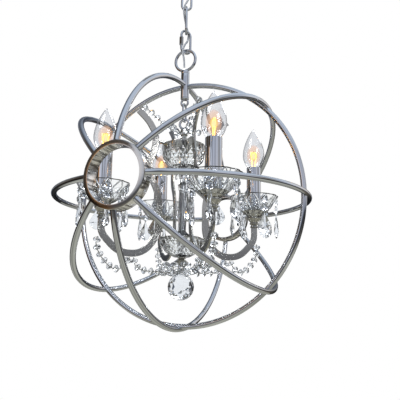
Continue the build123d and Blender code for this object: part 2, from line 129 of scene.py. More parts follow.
# A colour ramp from (position, colour) pairs over a range, fed by a value
def rampOver(tree, value, pairs, unit):
    first, last = pairs[0][0], pairs[-1][0]
    ends = {"From Min": first * unit, "From Max": last * unit}
    share = addNode(tree, "ShaderNodeMapRange", {"Value": value, **ends})
    ramp = addNode(tree, "ShaderNodeValToRGB", {"Fac": share.outputs[0]})
    for index, (at, colour) in enumerate(pairs):
        stops = ramp.color_ramp.elements
        stop = stops[index] if index < 2 else stops.new(1.0)
        stop.position = (at - first) / (last - first)
        stop.color = linear(colour)
    return ramp.outputs[0]


def metal(name, values):
    material, tree, shader = newMaterial(name, **{"Metallic": 1.0, "Base Color": linear(values["colour"])})
    rough = grain(tree, values["grainSize"], values["stretch"], values["smoothest"], values["roughest"])
    tree.links.new(rough, shader.inputs["Roughness"])
    height = grain(tree, values["grainSize"] / 2, values["stretch"], 0.0, 1.0)
    relief = {"Height": height, "Strength": values["bump"], "Distance": values["bumpDepth"] * mm}
    bump = addNode(tree, "ShaderNodeBump", relief)
    tree.links.new(bump.outputs[0], shader.inputs["Normal"])
    return material


# The mesh becomes an object of one material on its body, in place of its CAD nodes
def place(mesh, name, material, body, nodes=(), where=Matrix(), flat=False, sharpAngle=32):
    bmesh.ops.remove_doubles(mesh, verts=mesh.verts, dist=0.002)
    bmesh.ops.recalc_face_normals(mesh, faces=mesh.faces)
    bmesh.ops.transform(mesh, matrix=Matrix.Scale(mm, 4) @ where, verts=mesh.verts)
    for face in mesh.faces:
        face.smooth = not flat
    data = bpy.data.meshes.new(name)
    mesh.to_mesh(data)
    mesh.free()
    if not flat:
        data.set_sharp_from_angle(angle=radians(sharpAngle))
    piece = bpy.data.objects.new(name, data)
    bpy.context.collection.objects.link(piece)
    data.materials.append(material)
    if body:
        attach(piece, body)
    if nodes:
        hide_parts(*nodes)
    return piece


# A CAD node that stays gets its material
def dress(node, material):
    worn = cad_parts[node].data.materials
    worn.clear()
    worn.append(material)


# The place of a shape drawn in the XZ plane whose x axis runs along xDir and z axis along zDir
def facing(xDir, zDir, origin=Vector()):
    x, z = Vector(xDir).normalized(), Vector(zDir).normalized()
    turn = Matrix((x, z.cross(x), z)).transposed().to_4x4()
    return Matrix.Translation(origin) @ turn


# Even turns round an axis, shifted by a share of one step
def turnsRound(count, shift=0.0):
    return [2 * pi * (i + shift) / count for i in range(count)]


# A ring of points about Z at one radius, or at one radius for each turn
def ringAt(mesh, radius, height, turns):
    reach = radius if isinstance(radius, list) else [radius] * len(turns)
    return [mesh.verts.new((r * cos(a), r * sin(a), height)) for r, a in zip(reach, turns)]


def atHeight(height):
    return Matrix.Translation((0, 0, height))


# The level direction at a turn in degrees
def levelAt(turn):
    return Vector((cos(radians(turn)), sin(radians(turn)), 0))


def circle(radius, steps, start=0.0, sweep=360.0):
    count = steps if sweep == 360.0 else steps + 1
    turns = [radians(start + sweep * i / steps) for i in range(count)]
    return [Vector((radius * cos(a), 0, radius * sin(a))) for a in turns]


def roundSection(dia, steps=14):
    return [(dia / 2 * cos(a), dia / 2 * sin(a)) for a in turnsRound(steps)]


# A section swept along a path in the XZ plane; u lies in that plane and v along Y
def swept(path, section, closed=False, mesh=None):
    mesh = bmesh.new() if mesh is None else mesh
    rings = []
    for i, point in enumerate(path):
        before = path[i - 1] if closed or i else point
        after = path[(i + 1) % len(path)] if closed or i < len(path) - 1 else point
        across = (after - before).normalized().cross(forwards)
        rings.append([mesh.verts.new(point + across * u + forwards * v) for u, v in section])
    joinRings(mesh, rings, closed)
    if not closed:
        mesh.faces.new(rings[0])
        mesh.faces.new(rings[-1])
    return mesh


def joinRings(mesh, rings, closed=False):
    pairs = list(zip(rings, rings[1:])) + ([(rings[-1], rings[0])] if closed else [])
    for first, second in pairs:
        for j in range(len(first)):
            mesh.faces.new((first[j - 1], first[j], second[j], second[j - 1]))


# A long link of round wire: two half circles and the straight sides between them
def wireLink(length, width, wire, sides=14, thinned=0.0):
    bend, bendSteps = (width - wire) / 2, 20
    straight = Vector((0, 0, (length - width) / 2))
    path = [p + straight for p in circle(bend, bendSteps, 0, 180)]
    path += [p - straight for p in circle(bend, bendSteps, 180, 180)]
    return swept(path, roundSection(wire - thinned, sides), closed=True)


# A round wire bent into a closed ring
def wireRing(dia, wire, steps, sides=14, thinned=0.0):
    return swept(circle((dia - wire) / 2, steps), roundSection(wire - thinned, sides), closed=True)


# Corners of an outline of (radius, height) points turned into arcs
def eased(points, radius, closed=False, steps=3):
    made = []
    for i, point in enumerate(points):
        here = Vector(point)
        if not closed and i in (0, len(points) - 1):
            made.append(here)
            continue
        before, after = Vector(points[i - 1]) - here, Vector(points[(i + 1) % len(points)]) - here
        reach = min(radius, before.length * 0.45, after.length * 0.45)
        first, last = here + before.normalized() * reach, here + after.normalized() * reach
        for k in range(steps + 1):
            t = k / steps
            made.append(first * (1 - t) ** 2 + here * 2 * t * (1 - t) + last * t * t)
    return made


# A body turned about Z from its outline; an open outline starts and ends on the axis
def turned(outline, steps=48, closed=False, ripple=None, mesh=None):
    mesh = bmesh.new() if mesh is None else mesh
    rings, turns = [], turnsRound(steps)
    for radius, height in outline:
        if radius < 0.001:
            rings.append([mesh.verts.new((0, 0, height))] * steps)
            continue
        reach = [radius * (ripple(a, height) if ripple else 1) for a in turns]
        rings.append(ringAt(mesh, reach, height, turns))
    pairs = list(zip(rings, rings[1:])) + ([(rings[-1], rings[0])] if closed else [])
    for first, second in pairs:
        for j in range(steps):
            corners = []
            for corner in (first[j - 1], first[j], second[j], second[j - 1]):
                if corner not in corners:
                    corners.append(corner)
            if len(corners) > 2:
                mesh.faces.new(corners)
    return mesh


# A solid round bar between two heights, with rounded edges
def bar(radius, low, high, ease):
    return turned(eased([(0, low), (radius, low), (radius, high), (0, high)], ease), 40)


# A round tube between two heights, with rounded edges
def tube(bore, radius, low, high, ease, steps):
    wall = [(bore, low), (radius, low), (radius, high), (bore, high)]
    return turned(eased(wall, ease, closed=True), steps, closed=True)


# Points of a smooth curve through (radius, height) points
def flowing(points, steps=6):
    places = [Vector(p) for p in points]
    ends = [places[0] * 2 - places[1]] + places + [places[-1] * 2 - places[-2]]
    made = []
    for a, b, c, d in zip(ends, ends[1:], ends[2:], ends[3:]):
        for k in range(steps):
            t = k / steps
            bend = 2 * b + (c - a) * t + (2 * a - 5 * b + 4 * c - d) * t * t
            bend += (3 * b - a - 3 * c + d) * t ** 3
            made.append(0.5 * bend)
    return made + [places[-1]]


# The separate solids of a CAD node, each as its corner points in millimetres, in any order
def solidsOf(node):
    mesh = bmesh.new()
    mesh.from_mesh(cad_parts[node].data)
    bmesh.ops.remove_doubles(mesh, verts=mesh.verts, dist=1e-6)
    left, found = set(mesh.verts), []
    while left:
        group, edge = set(), [left.pop()]
        while edge:
            vert = edge.pop()
            group.add(vert)
            for joined in vert.link_edges:
                other = joined.other_vert(vert)
                if other in left:
                    left.remove(other)
                    edge.append(other)
        found.append([v.co / mm for v in group])
    mesh.free()
    return sorted(found, key=lambda solid: [round(c, 1) for c in sum(solid, Vector()) / len(solid)])


# As the photo was taken
camera = {
    "azimuth": 24.07,
    "elevation": -10.66,
    "roll": 0.816,
    "distance": 782.6,      # from the cage's centre, along the view
    "sideways": 27.9,       # and the lens's own offsets across it
    "upward": 2.4,
    "lens": 43.89,
    "sensor": 36.0,
}

azimuth, elevation, roll = [radians(camera[k]) for k in ("azimuth", "elevation", "roll")]
back = Vector((sin(azimuth) * cos(elevation), -cos(azimuth) * cos(elevation), sin(elevation)))
level = upwards.cross(back).normalized()
lensRight = level * cos(roll) + back.cross(level) * sin(roll)
lensUp = back.cross(lensRight)
lensData = bpy.data.cameras.new("photoCamera")
lensData.lens = camera["lens"]
lensData.sensor_width = camera["sensor"]
lensData.clip_start = 0.05
photoCamera = bpy.data.objects.new("photoCamera", lensData)
bpy.context.collection.objects.link(photoCamera)
lensPlace = cageCentre + back * camera["distance"]
lensPlace += lensRight * camera["sideways"]
lensPlace += lensUp * camera["upward"]
lensTurn = Matrix((lensRight, lensUp, back)).transposed().to_4x4()
photoCamera.matrix_world = Matrix.Translation(lensPlace * mm) @ lensTurn
bpy.context.scene.camera = photoCamera
print("camera placed")


chromeValues = {
    "colour": "#D4D6DA",
    "smoothest": 0.04,
    "roughest": 0.1,
    "grainSize": 30.0,
    "stretch": (1, 1, 1),
    "bump": 0.02,
    "bumpDepth": 0.05,
}
nickelValues = {
    "colour": "#DAD6D0",
    "smoothest": 0.1,
    "roughest": 0.22,
    "grainSize": 5.0,
    "stretch": (1, 0.06, 1),  # brushed along the ring's axis
    "bump": 0.8,
    "bumpDepth": 0.2,
    # painted reflections: the band's colour runs from dark to bright over noise stretched along its axis
    "paintedReflectionSize": 3.2,
    "paintedReflectionTones": [(0.0, "#5E5A56"), (0.4, "#98948E"), (0.47, "#F0ECE6"), (0.62, "#FFFCF8"), (1.0, "#C8C4BE")],
}
pewterValues = {
    "colour": "#C0BEB7",
    "smoothest": 0.13,
    "roughest": 0.3,
    "grainSize": 4.0,
    "stretch": (1, 1, 0.5),
    "bump": 0.3,
    "bumpDepth": 0.04,
}
zincValues = {
    "colour": "#9FA0A2",
    "smoothest": 0.3,
    "roughest": 0.5,
    "grainSize": 6.0,
    "stretch": (1, 1, 1),
    "bump": 0.1,
    "bumpDepth": 0.05,
}
# Bent steel rod and wire, polished and chrome plated: a clear, faintly wavy mirror
polishedChrome = metal("polishedChrome", chromeValues)
# Rolled steel band, brushed along its axis and nickel plated, with bright and dark streaked reflections
# painted into its colour.
# The painted streaking is drawn far coarser than real brushing, as the photo's size shows it.
satinNickelPaintedReflections = metal("satinNickelPaintedReflections", nickelValues)
tree = satinNickelPaintedReflections.node_tree
# painted reflections: bright and dark streaking laid on the band's colour
paintedReflection = grain(tree, nickelValues["paintedReflectionSize"], nickelValues["stretch"], 0.0, 1.0)
tone = rampOver(tree, paintedReflection, nickelValues["paintedReflectionTones"], 1.0)
tree.links.new(tone, next(n for n in tree.nodes if n.type == "BSDF_PRINCIPLED").inputs["Base Color"])
plainNickel = {**nickelValues, "stretch": (1, 1, 1)}
# The same band's ends, ground plain: an even mirror, a little blurred
groundNickel = metal("groundNickel", {**plainNickel, "bumpDepth": 0.01})
# Spun sheet steel, nickel plated and satin finished: a broad soft gleam
spunNickel = metal("spunNickel", {**plainNickel, "bumpDepth": 0.02, "roughest": 0.34})
# Cast and rolled zinc alloy, antique plated: a warm grey with an uneven sheen
agedPewter = metal("agedPewter", pewterValues)
# Pressed sheet steel, zinc plated: dull and pale
zincSteel = metal("zincSteel", zincValues)

glassValues = {
    "colour": "#FAFCFD",
    "index": 1.5,
    "crystalColour": "#EEF2F7",
    "crystalIndex": 1.6,
    "bulbColour": "#F1F2F4",
    "bulbIndex": 1.45,
    "crossings": 12.0,        # cut crosses round a dish
    "cutWidth": 0.08,         # of a cut, as a share of the pattern's cell
    "cutDepth": 0.8,
    "cutRoughness": 0.35,
}


def glass(name, colour, index):
    values = {"Base Color": linear(colour), "Roughness": 0.0, "IOR": index, "Transmission Weight": 1.0}
    return newMaterial(name, **values)


# Pressed soda glass with wheel-cut crosses that follow the piece's own UV map
def cutGlassWith(name, crossings):
    material, tree, shader = glass(name, glassValues["colour"], glassValues["index"])
    uv = addNode(tree, "ShaderNodeUVMap", uv_map="cuts").outputs[0]
    parts = addNode(tree, "ShaderNodeSeparateXYZ", {"Vector": uv})
    across = addNode(tree, "ShaderNodeMath", {0: parts.outputs["X"], 1: crossings}, operation="MULTIPLY")
    nearest = None
    both = {0: across.outputs[0], 1: parts.outputs["Y"]}
    for slope in ("ADD", "SUBTRACT"):
        line = addNode(tree, "ShaderNodeMath", both, operation=slope)
        fold = addNode(tree, "ShaderNodeMath", {0: line.outputs[0], 1: 0.5}, operation="PINGPONG")
        gap = fold.outputs[0]
        if nearest:
            gap = addNode(tree, "ShaderNodeMath", {0: nearest, 1: gap}, operation="MINIMUM").outputs[0]
        nearest = gap
    fade = {"Value": nearest, "From Max": glassValues["cutWidth"], "To Min": 1.0, "To Max": 0.0}
    cut = addNode(tree, "ShaderNodeMapRange", fade).outputs[0]
    inverse = addNode(tree, "ShaderNodeMath", {0: 1.0, 1: cut}, operation="SUBTRACT").outputs[0]
    relief = {"Height": inverse, "Strength": 1.0, "Distance": glassValues["cutDepth"] * mm}
    bump = addNode(tree, "ShaderNodeBump", relief)
    tree.links.new(bump.outputs[0], shader.inputs["Normal"])
    share = {0: cut, 1: glassValues["cutRoughness"]}
    rough = addNode(tree, "ShaderNodeMath", share, operation="MULTIPLY").outputs[0]
    tree.links.new(rough, shader.inputs["Roughness"])
    return material


# Pressed soda glass, its facets ground flat and polished: clear, with sharp glints
facetGlass = glass("facetGlass", glassValues["colour"], glassValues["index"])[0]
# Full-lead crystal, machine cut and polished: it bends light more, so it glints more
leadCrystal = glass("leadCrystal", glassValues["crystalColour"], glassValues["crystalIndex"])[0]
# Clear blown glass, under a millimetre thick, seen by its outline and highlights
bulbGlass = glass("bulbGlass", glassValues["bulbColour"], glassValues["bulbIndex"])[0]
bobecheGlass = cutGlassWith("bobecheGlass", glassValues["crossings"])

lightValues = {
    "filament": "#FFB040",
    "filamentStrength": 14.0,
    # (share of the way out, colour) of the glare round it
    "glow": [(0.0, "#FFF6CC"), (0.3, "#FFE27A"), (0.6, "#FFAE4A"), (1.0, "#FF9A6A")],
    "glowStrength": 1.15,
    "glowCover": 0.95,
    "halo": [(0.0, "#FFC890"), (1.0, "#FFB49A")],
    "haloCover": 0.3,
    "edge": 0.9,            # share of the way out at which the glare has gone
}
# Drawn tungsten wire, lit, so that its own light hides its surface
tungsten = newMaterial("tungsten", **{
    "Base Color": linear("#808080"),
    "Emission Color": linear(lightValues["filament"]),
    "Emission Strength": lightValues["filamentStrength"],
})[0]


# Another shader takes the Principled one's place on the output
def showInstead(tree, shader, other):
    tree.links.new(other.outputs[0], shader.outputs[0].links[0].to_socket)
    tree.nodes.remove(shader)


# The glare round a lit filament, which fades out towards its own edge
def glare(name, tones, most):
    material, tree, shader = newMaterial(name)
    out = addNode(tree, "ShaderNodeLayerWeight", {"Blend": 0.5}).outputs["Facing"]
    fade = {"Value": out, "From Max": lightValues["edge"], "To Min": most, "To Max": 0.0}
    cover = addNode(tree, "ShaderNodeMapRange", fade, interpolation_type="SMOOTHSTEP").outputs[0]
    colour = rampOver(tree, out, tones, 1.0)
    light = addNode(tree, "ShaderNodeEmission", {"Color": colour, "Strength": lightValues["glowStrength"]})
    clear = addNode(tree, "ShaderNodeBsdfTransparent")
    mixed = addNode(tree, "ShaderNodeMixShader", {0: cover, 1: clear.outputs[0], 2: light.outputs[0]})
    showInstead(tree, shader, mixed)
    return material


filamentGlare = glare("filamentGlare", lightValues["glow"], lightValues["glowCover"])
filamentHalo = glare("filamentHalo", lightValues["halo"], lightValues["haloCover"])
# Moulded white phenolic: an even white with a soft gloss
whitePhenolic = newMaterial("whitePhenolic", **{"Base Color": linear("#E6E5DF"), "Roughness": 0.4})[0]
# Clear extruded vinyl over a silvery braid, seen as a fine grey twist
vinylValues = {
    "roughness": 0.22,
    "metallic": 0.3,        # of the braid seen through the vinyl
    "twist": 0.6,           # bands to a millimetre along the cord's own map
    "dark": "#5C6066",
    "light": "#A6AAB0",
}
vinylShares = {"Roughness": vinylValues["roughness"], "Metallic": vinylValues["metallic"]}
clearVinyl, vinylTree, vinylShader = newMaterial("clearVinyl", **vinylShares)
vinylUv = addNode(vinylTree, "ShaderNodeUVMap", uv_map="cuts").outputs[0]
bands = {"Vector": vinylUv, "Scale": vinylValues["twist"], "Distortion": 0.0}
vinylWave = addNode(vinylTree, "ShaderNodeTexWave", bands, bands_direction="DIAGONAL")
blend = {0: vinylWave.outputs["Fac"], 6: linear(vinylValues["dark"]), 7: linear(vinylValues["light"])}
vinylTone = addNode(vinylTree, "ShaderNodeMix", blend, data_type="RGBA")
vinylTree.links.new(vinylTone.outputs[2], vinylShader.inputs["Base Color"])
print("materials made")


# The supply cord is woven through the chain, and its points are listed
cordRun = {
    "dia": 3.2,
    "sides": 12,
    "bandsRound": 8,        # units of the twist's map round the cord
    "points": [
        (-9.8, 21.9, -29.0),
        (-9.8, 21.9, -44.0),
        (-6.6, 18.4, -62.0),
        (-0.9, 10.0, -79.0),
        (2.2, 1.5, -93.0),
        (-1.3, -5.9, -107.5),
        (-2.5, -6.5, -118.0),
        (-1.7, -2.1, -133.0),
        (-0.8, 3.2, -144.5),
        (1.0, 8.3, -154.5),
        (1.3, 5.6, -164.0),
        (2.9, 0.6, -172.5),
        (0.5, -5.1, -180.0),
        (-1.1, -8.1, -189.5),
        (-1.0, -8.5, -198.0),
        (0.0, -6.4, -206.0),
        (0.0, -4.6, -215.2),
        (0.0, -4.6, -223.2),
    ],
    # each stretch hangs between two bodies, and ends on the second where the next begins
    "stretches": [
        ("cordTop", "ceiling_fitting", "upper_link", -86.0),
        ("cordUpper", "upper_link", "lower_link", -131.0),
        ("cordLower", "lower_link", "quick_link", -174.0),
        ("cordFoot", "quick_link", "cage", -224.0),
    ],
}


# Points of the smooth curve that the cord takes
def cordLine():
    curve = bpy.data.curves.new("cordRoute", "CURVE")
    curve.dimensions = "3D"
    curve.resolution_u = 8
    spline = curve.splines.new("NURBS")
    spline.points.add(len(cordRun["points"]) - 1)
    for point, spot in zip(spline.points, cordRun["points"]):
        point.co = (*[c * mm for c in spot], 1.0)
    spline.order_u = 3
    spline.use_endpoint_u = True
    carrier = bpy.data.objects.new("cordRoute", curve)
    bpy.context.collection.objects.link(carrier)
    line = bpy.data.meshes.new_from_object(carrier)
    points = [v.co / mm for v in line.vertices]
    bpy.data.objects.remove(carrier)
    bpy.data.curves.remove(curve)
    bpy.data.meshes.remove(line)
    return points


def tubeAlong(mesh, points, dia, sides):
    uv = mesh.loops.layers.uv.new("cuts")
    across = forwards
    rings, lengths, turns = [], [0.0], turnsRound(sides)
    for i, point in enumerate(points):
        along = (points[min(i + 1, len(points) - 1)] - points[max(i - 1, 0)]).normalized()
        across = (across - along * across.dot(along)).normalized()
        other = along.cross(across)
        rings.append([mesh.verts.new(point + (across * cos(a) + other * sin(a)) * dia / 2) for a in turns])
        if i:
            lengths.append(lengths[-1] + (point - points[i - 1]).length)
    for k, (first, second) in enumerate(zip(rings, rings[1:])):
        for j in range(sides):
            face = mesh.faces.new((first[j], first[(j + 1) % sides], second[(j + 1) % sides], second[j]))
            spots = [(j, k), (j + 1, k), (j + 1, k + 1), (j, k + 1)]
            for loop, (turn, step) in zip(face.loops, spots):
                loop[uv].uv = (turn / sides * cordRun["bandsRound"], lengths[step])
    mesh.faces.new(rings[0])
    mesh.faces.new(rings[-1])
    return lengths[-1]


line = cordLine()
start = 0
for name, upperBody, lowerBody, foot in cordRun["stretches"]:
    stop = next((i for i, p in enumerate(line) if p.z < foot), len(line) - 1)
    stretch = line[start:stop + 1]
    mesh = bmesh.new()
    length = tubeAlong(mesh, stretch, cordRun["dia"], cordRun["sides"])
    piece = place(mesh, name, clearVinyl, None)
    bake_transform(piece)
    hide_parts("supply_cord")
    start = stop
print("cord made")


fitting = {
    "canopyDia": 127.0,
    "canopyWall": 1.2,
    "domeCurve": [(60.5, -8), (50, -18)],  # (radius, height) between its rim and its flat
    "shoulder": 30.0,       # radius of the dome's flat
    "neckDia": 15.0,
    "neckTop": -10.0,
    "threadStep": 0.5,      # from a crest to the next root
    "threadDepth": 0.35,
    "threadMost": 56,       # crests and roots, of which those above the neck's foot are cut
    "ringDia": 30.0,
    "ringWire": 5.0,
    "ringTurn": 114.0,
    "collarDia": 26.0,
    "bushHang": 3.0,        # of the cord's bush below the dome
    "bushDia": 6.4,
    "bushBore": 3.8,
    "cordHole": (21.8, 26.2),  # radii between which the dome's hole for the bush lies
    "cordHoleRadius": 1.8,
    "boreRadius": 7.6,
}
canopyLow = boxOf("canopy")[0].z + fitting["bushHang"]
collarLow, collarHigh = levelsOf("canopy_collar")
ringLow = boxOf("canopy_loop")[0].z
ringCentre = ringLow + fitting["ringDia"] / 2

rim = fitting["canopyDia"] / 2
domeOutside = flowing([(rim, 0), *fitting["domeCurve"], (fitting["shoulder"], canopyLow)], 8)
domeInside = [(r - fitting["canopyWall"], z + 0.2) for r, z in domeOutside[:-1]]
domeFoot = canopyLow + fitting["canopyWall"]
flatRadii = [fitting["boreRadius"], *fitting["cordHole"]]
dome = [(rim, 0)] + [tuple(p) for p in domeOutside[1:]]
dome += [(radius, canopyLow) for radius in reversed(flatRadii)]
dome += [(radius, domeFoot) for radius in flatRadii + [fitting["shoulder"]]]
dome += [tuple(p) for p in reversed(domeInside[1:])] + [(rim - fitting["canopyWall"], 0)]
bush = Vector(cordRun["points"][0])


# Whether a face of the dome lies where the cord's bush goes through it
def atBush(face):
    middle = face.calc_center_median()
    return (middle.xy - bush.xy).length < fitting["cordHoleRadius"] and middle.z < domeFoot + 0.1


mesh = turned(dome, 72, closed=True)
bmesh.ops.delete(mesh, geom=[face for face in mesh.faces if atBush(face)], context="FACES")
bmesh.ops.bridge_loops(mesh, edges=[e for e in mesh.edges if e.is_boundary])
place(mesh, "canopyDome", spunNickel, "canopy", ["canopy"])
mesh = tube(fitting["bushBore"] / 2, fitting["bushDia"] / 2, canopyLow + 1, bush.z, 0.5, 24)
place(mesh, "cordBush", whitePhenolic, "canopy", where=Matrix.Translation((*bush.xy, 0)))

mesh = tube(fitting["boreRadius"], fitting["collarDia"] / 2, collarLow, collarHigh, 0.8, 48)
place(mesh, "canopyCollar", spunNickel, "canopy_collar", ["canopy_collar"])

neckRadius, neckBottom = fitting["neckDia"] / 2, ringLow + fitting["ringDia"] - 2
crests = [fitting["neckTop"] - 1 - fitting["threadStep"] * i for i in range(fitting["threadMost"])]
depths = [fitting["threadDepth"] * (i % 2) for i in range(fitting["threadMost"])]
threads = [(neckRadius - depth, z) for depth, z in zip(depths, crests) if z > neckBottom + 2]
outline = [(0, fitting["neckTop"]), (neckRadius - 0.6, fitting["neckTop"])] + threads
neckFoot = eased([(neckRadius, neckBottom + 1.8), (neckRadius, neckBottom), (0, neckBottom)], 1.2)
outline += [tuple(p) for p in neckFoot]
mesh = turned(outline, 32)
loopWhere = facing(levelAt(fitting["ringTurn"]), upwards, (0, 0, ringCentre))
ring = wireRing(fitting["ringDia"], fitting["ringWire"], 48)
place(mesh, "loopNeck", polishedChrome, "ceiling_fitting", ["canopy_loop"], sharpAngle=20)
place(ring, "ceilingRing", polishedChrome, "ceiling_fitting", where=loopWhere)
dress("mounting_bracket", zincSteel)
dress("canopy_nipple", zincSteel)
print("ceiling fitting made")


# Two long links and a quick link with its nut
chain = {
    # (piece, node, body, plan angle of the link's plane)
    "links": [
        ("upperLink", "chain_link_upper", "upper_link", 24.0),
        ("lowerLink", "chain_link_lower", "lower_link", 114.0),
    ],
    "width": 20.0,
    "wire": 3.8,
    "quickTurn": 54.0,
    "quickWidth": 21.6,
    "quickWire": 4.2,
    "play": 0.2,            # taken off the round wire where links hang in each other
    "nutWidth": 7.6,        # across its corners
    "nutChamfer": 1.0,
    "nutClearance": 0.1,
}
for name, node, body, turn in chain["links"]:
    low, high = boxOf(node)
    mesh = wireLink(high.z - low.z, chain["width"], chain["wire"])
    where = facing(levelAt(turn), upwards, (0, 0, (low.z + high.z) / 2))
    place(mesh, name, polishedChrome, body, [node], where)

low, high = boxOf("quick_link")
quickWhere = facing(levelAt(chain["quickTurn"]), upwards, (0, 0, (low.z + high.z) / 2))
mesh = wireLink(high.z - low.z, chain["quickWidth"], chain["quickWire"], thinned=chain["play"])
place(mesh, "quickLink", polishedChrome, "quick_link", ["quick_link"], quickWhere)

low, high = boxOf("quick_link_nut")
half = (high.z - low.z) / 2
nutRadius = chain["nutWidth"] / 2
nutBore = chain["quickWire"] / 2 + chain["nutClearance"]
barSpot = levelAt(chain["quickTurn"]) * (chain["quickWire"] - chain["quickWidth"]) / 2
nutOutline = [(nutBore, -half), (nutRadius - chain["nutChamfer"], -half), (nutRadius, 1 - half)]
nutOutline += [(radius, -height) for radius, height in reversed(nutOutline)]
mesh = turned(nutOutline, 6, closed=True)
place(mesh, "quickLinkNut", polishedChrome, "quick_link_nut", ["quick_link_nut"],
      Matrix.Translation(barSpot + upwards * (low.z + high.z) / 2), flat=True)
print("chain made")


cage = {
    "radius": 198.5,        # centre line of the ribs
    "hoopInset": 3.5,
    "rodDia": 8.5,
    "ribs": ["top", "upper_right", "right", "lower_right", "bottom", "lower_left", "left", "upper_left"],
    "hubDia": 90.0,
    "hubWall": 6.6,
    "hubDepth": 20.0,       # as deep as the photo shows, inwards from the CAD ring's own face
    "hubEase": 0.8,         # its rounded edges
    "hubSlope": 1.2,        # how far its faces fall back at the outer edge
    "tubeDia": 14.0,
    "ringDia": 41.6,
    "ringWire": 5.0,
    "hookDia": 15.5,
    "hookWire": 3.4,
    "bushDia": 4.2,
}
rodSection = roundSection(cage["rodDia"], 16)
hubRadius = cage["hubDia"] / 2


# An arc of the cage's own circle, by angle from the x axis
def arcPath(radius, start, stop, steps=72):
    turns = [start + (stop - start) * i / steps for i in range(steps + 1)]
    return [Vector((radius * cos(a), 0, radius * sin(a))) for a in turns]


ribEnd = acos((hubRadius - 0.4) / cage["radius"])
tubeEnd = asin((cage["tubeDia"] / 2 - 0.3) / cage["radius"])
for index, rib in enumerate(cage["ribs"]):
    turn = radians(360 / len(cage["ribs"]) * index)
    outward = Vector((sin(turn), 0, cos(turn)))
    spans = [(pi / 2 - ribEnd, pi / 2 + ribEnd)]
    if rib == "top":
        spans = [(pi / 2 - ribEnd, pi / 2 - tubeEnd), (pi / 2 + tubeEnd, pi / 2 + ribEnd)]
    mesh = bmesh.new()
    for begin, end in spans:
        swept(arcPath(cage["radius"], begin, end), rodSection, mesh=mesh)
    where = facing(forwards, outward, cageCentre)
    place(mesh, "rib" + tagOf(rib), polishedChrome, "cage", [f"rib_{rib}"], where)

hoopRadius = cage["radius"] - cage["hoopInset"]
hoopEnd = asin((cage["tubeDia"] / 2 - 0.3) / hoopRadius)
mesh = swept(arcPath(hoopRadius, pi / 2 + hoopEnd, 5 * pi / 2 - hoopEnd, 160), rodSection)
place(mesh, "hoop", polishedChrome, "cage", ["cage_hoop"], Matrix.Translation(cageCentre))

for name, node in (("hubFront", "hub_ring_front"), ("hubRear", "hub_ring_rear")):
    half = cage["hubDepth"] / 2
    inner = hubRadius - cage["hubWall"]
    fall = cage["hubSlope"]
    lower = [(inner, -half), (hubRadius, fall - half)]
    upper = [(radius, -height) for radius, height in reversed(lower)]
    outline = eased(lower + upper, cage["hubEase"], closed=True)
    mesh = turned(outline, 96, closed=True)
    faces = [corner.y for corner in boxOf(node)]
    front = min(faces) if name == "hubFront" else max(faces)
    centre = Vector((0, front + (half if name == "hubFront" else -half), cageCentre.z))
    where = facing((1, 0, 0), forwards, centre)
    ring = place(mesh, name, satinNickelPaintedReflections, "cage", [node], where)
    # only the band's walls show the brushing and the painted streaked reflections; its ends are ground
    # plain
    ring.data.materials.append(groundNickel)
    for face in ring.data.polygons:
        face.material_index = 1 if abs(face.normal.y) > 0.5 else 0

tubeLow, tubeHigh = levelsOf("top_tube")
loopHigh = levelsOf("cage_loop")[1]
capTop = loopHigh - cage["ringDia"] + 2
tubeRadius = cage["tubeDia"] / 2
mesh = bar(tubeRadius, tubeLow, tubeHigh, 0.5)
place(mesh, "topTube", polishedChrome, "cage", ["top_tube"])
mesh = bar(tubeRadius, tubeHigh, capTop, 1.6)
place(mesh, "tubeCap", polishedChrome, "cage", ["cage_loop"])
mesh = wireRing(cage["ringDia"], cage["ringWire"], 56, thinned=chain["play"])
place(mesh, "cageRing", polishedChrome, "cage", where=atHeight(loopHigh - cage["ringDia"] / 2))
bushLow = cordRun["points"][-1]
capBush = cage["bushDia"] / 2
bushTop = [tuple(p) for p in eased([(capBush, capTop), (capBush, bushLow[2]), (0, bushLow[2])], 0.5)]
mesh = turned([(0, capTop - 0.5), (capBush, capTop - 0.5)] + bushTop, 20)
place(mesh, "capBush", whitePhenolic, "cage", where=Matrix.Translation((*bushLow[:2], 0)))

hookLow = boxOf("candelabra_hook")[0].z
flangeLow = hookLow + cage["hookDia"] - 2
mesh = bar(tubeRadius, flangeLow, tubeLow, 0.9)
place(mesh, "hookCap", polishedChrome, "cage", ["candelabra_hook"])
mesh = wireRing(cage["hookDia"], cage["hookWire"], 40, 12)
place(mesh, "hookRing", polishedChrome, "cage", where=atHeight(hookLow + cage["hookDia"] / 2))
print("cage made")


column = {
    "linkWidth": 14.0,
    "linkWire": 3.0,
    "ringDia": 20.0,
    "ringWire": 4.0,
    "neckFoot": 96.0,       # above the candelabra's datum
    # (radius, height above that foot)
    "neck": [(0, 0), (6, 0), (6, 8), (5, 9.5), (5, 12), (6, 13.5), (6, 21), (4.4, 25), (0, 25)],
}
low, high = boxOf("candelabra_link")
mesh = wireLink(high.z - low.z, column["linkWidth"], column["linkWire"], 12)
place(mesh, "innerLink", polishedChrome, "inner_link", ["candelabra_link"],
      facing(forwards, upwards, (0, 0, (low.z + high.z) / 2)))

neckFoot = datum + column["neckFoot"]
ringTop = boxOf("neck_cap")[1].z
mesh = turned(eased([(r, neckFoot + z) for r, z in column["neck"]], 0.7), 40)
place(mesh, "neckCap", agedPewter, "candelabra", ["neck_cap"])
mesh = wireRing(column["ringDia"], column["ringWire"], 44, 12)
place(mesh, "columnRing", polishedChrome, "candelabra", where=atHeight(ringTop - column["ringDia"] / 2))
dress("column_stem", zincSteel)
dress("upper_plate", agedPewter)
dress("lower_plate", agedPewter)
dress("sockets", whitePhenolic)


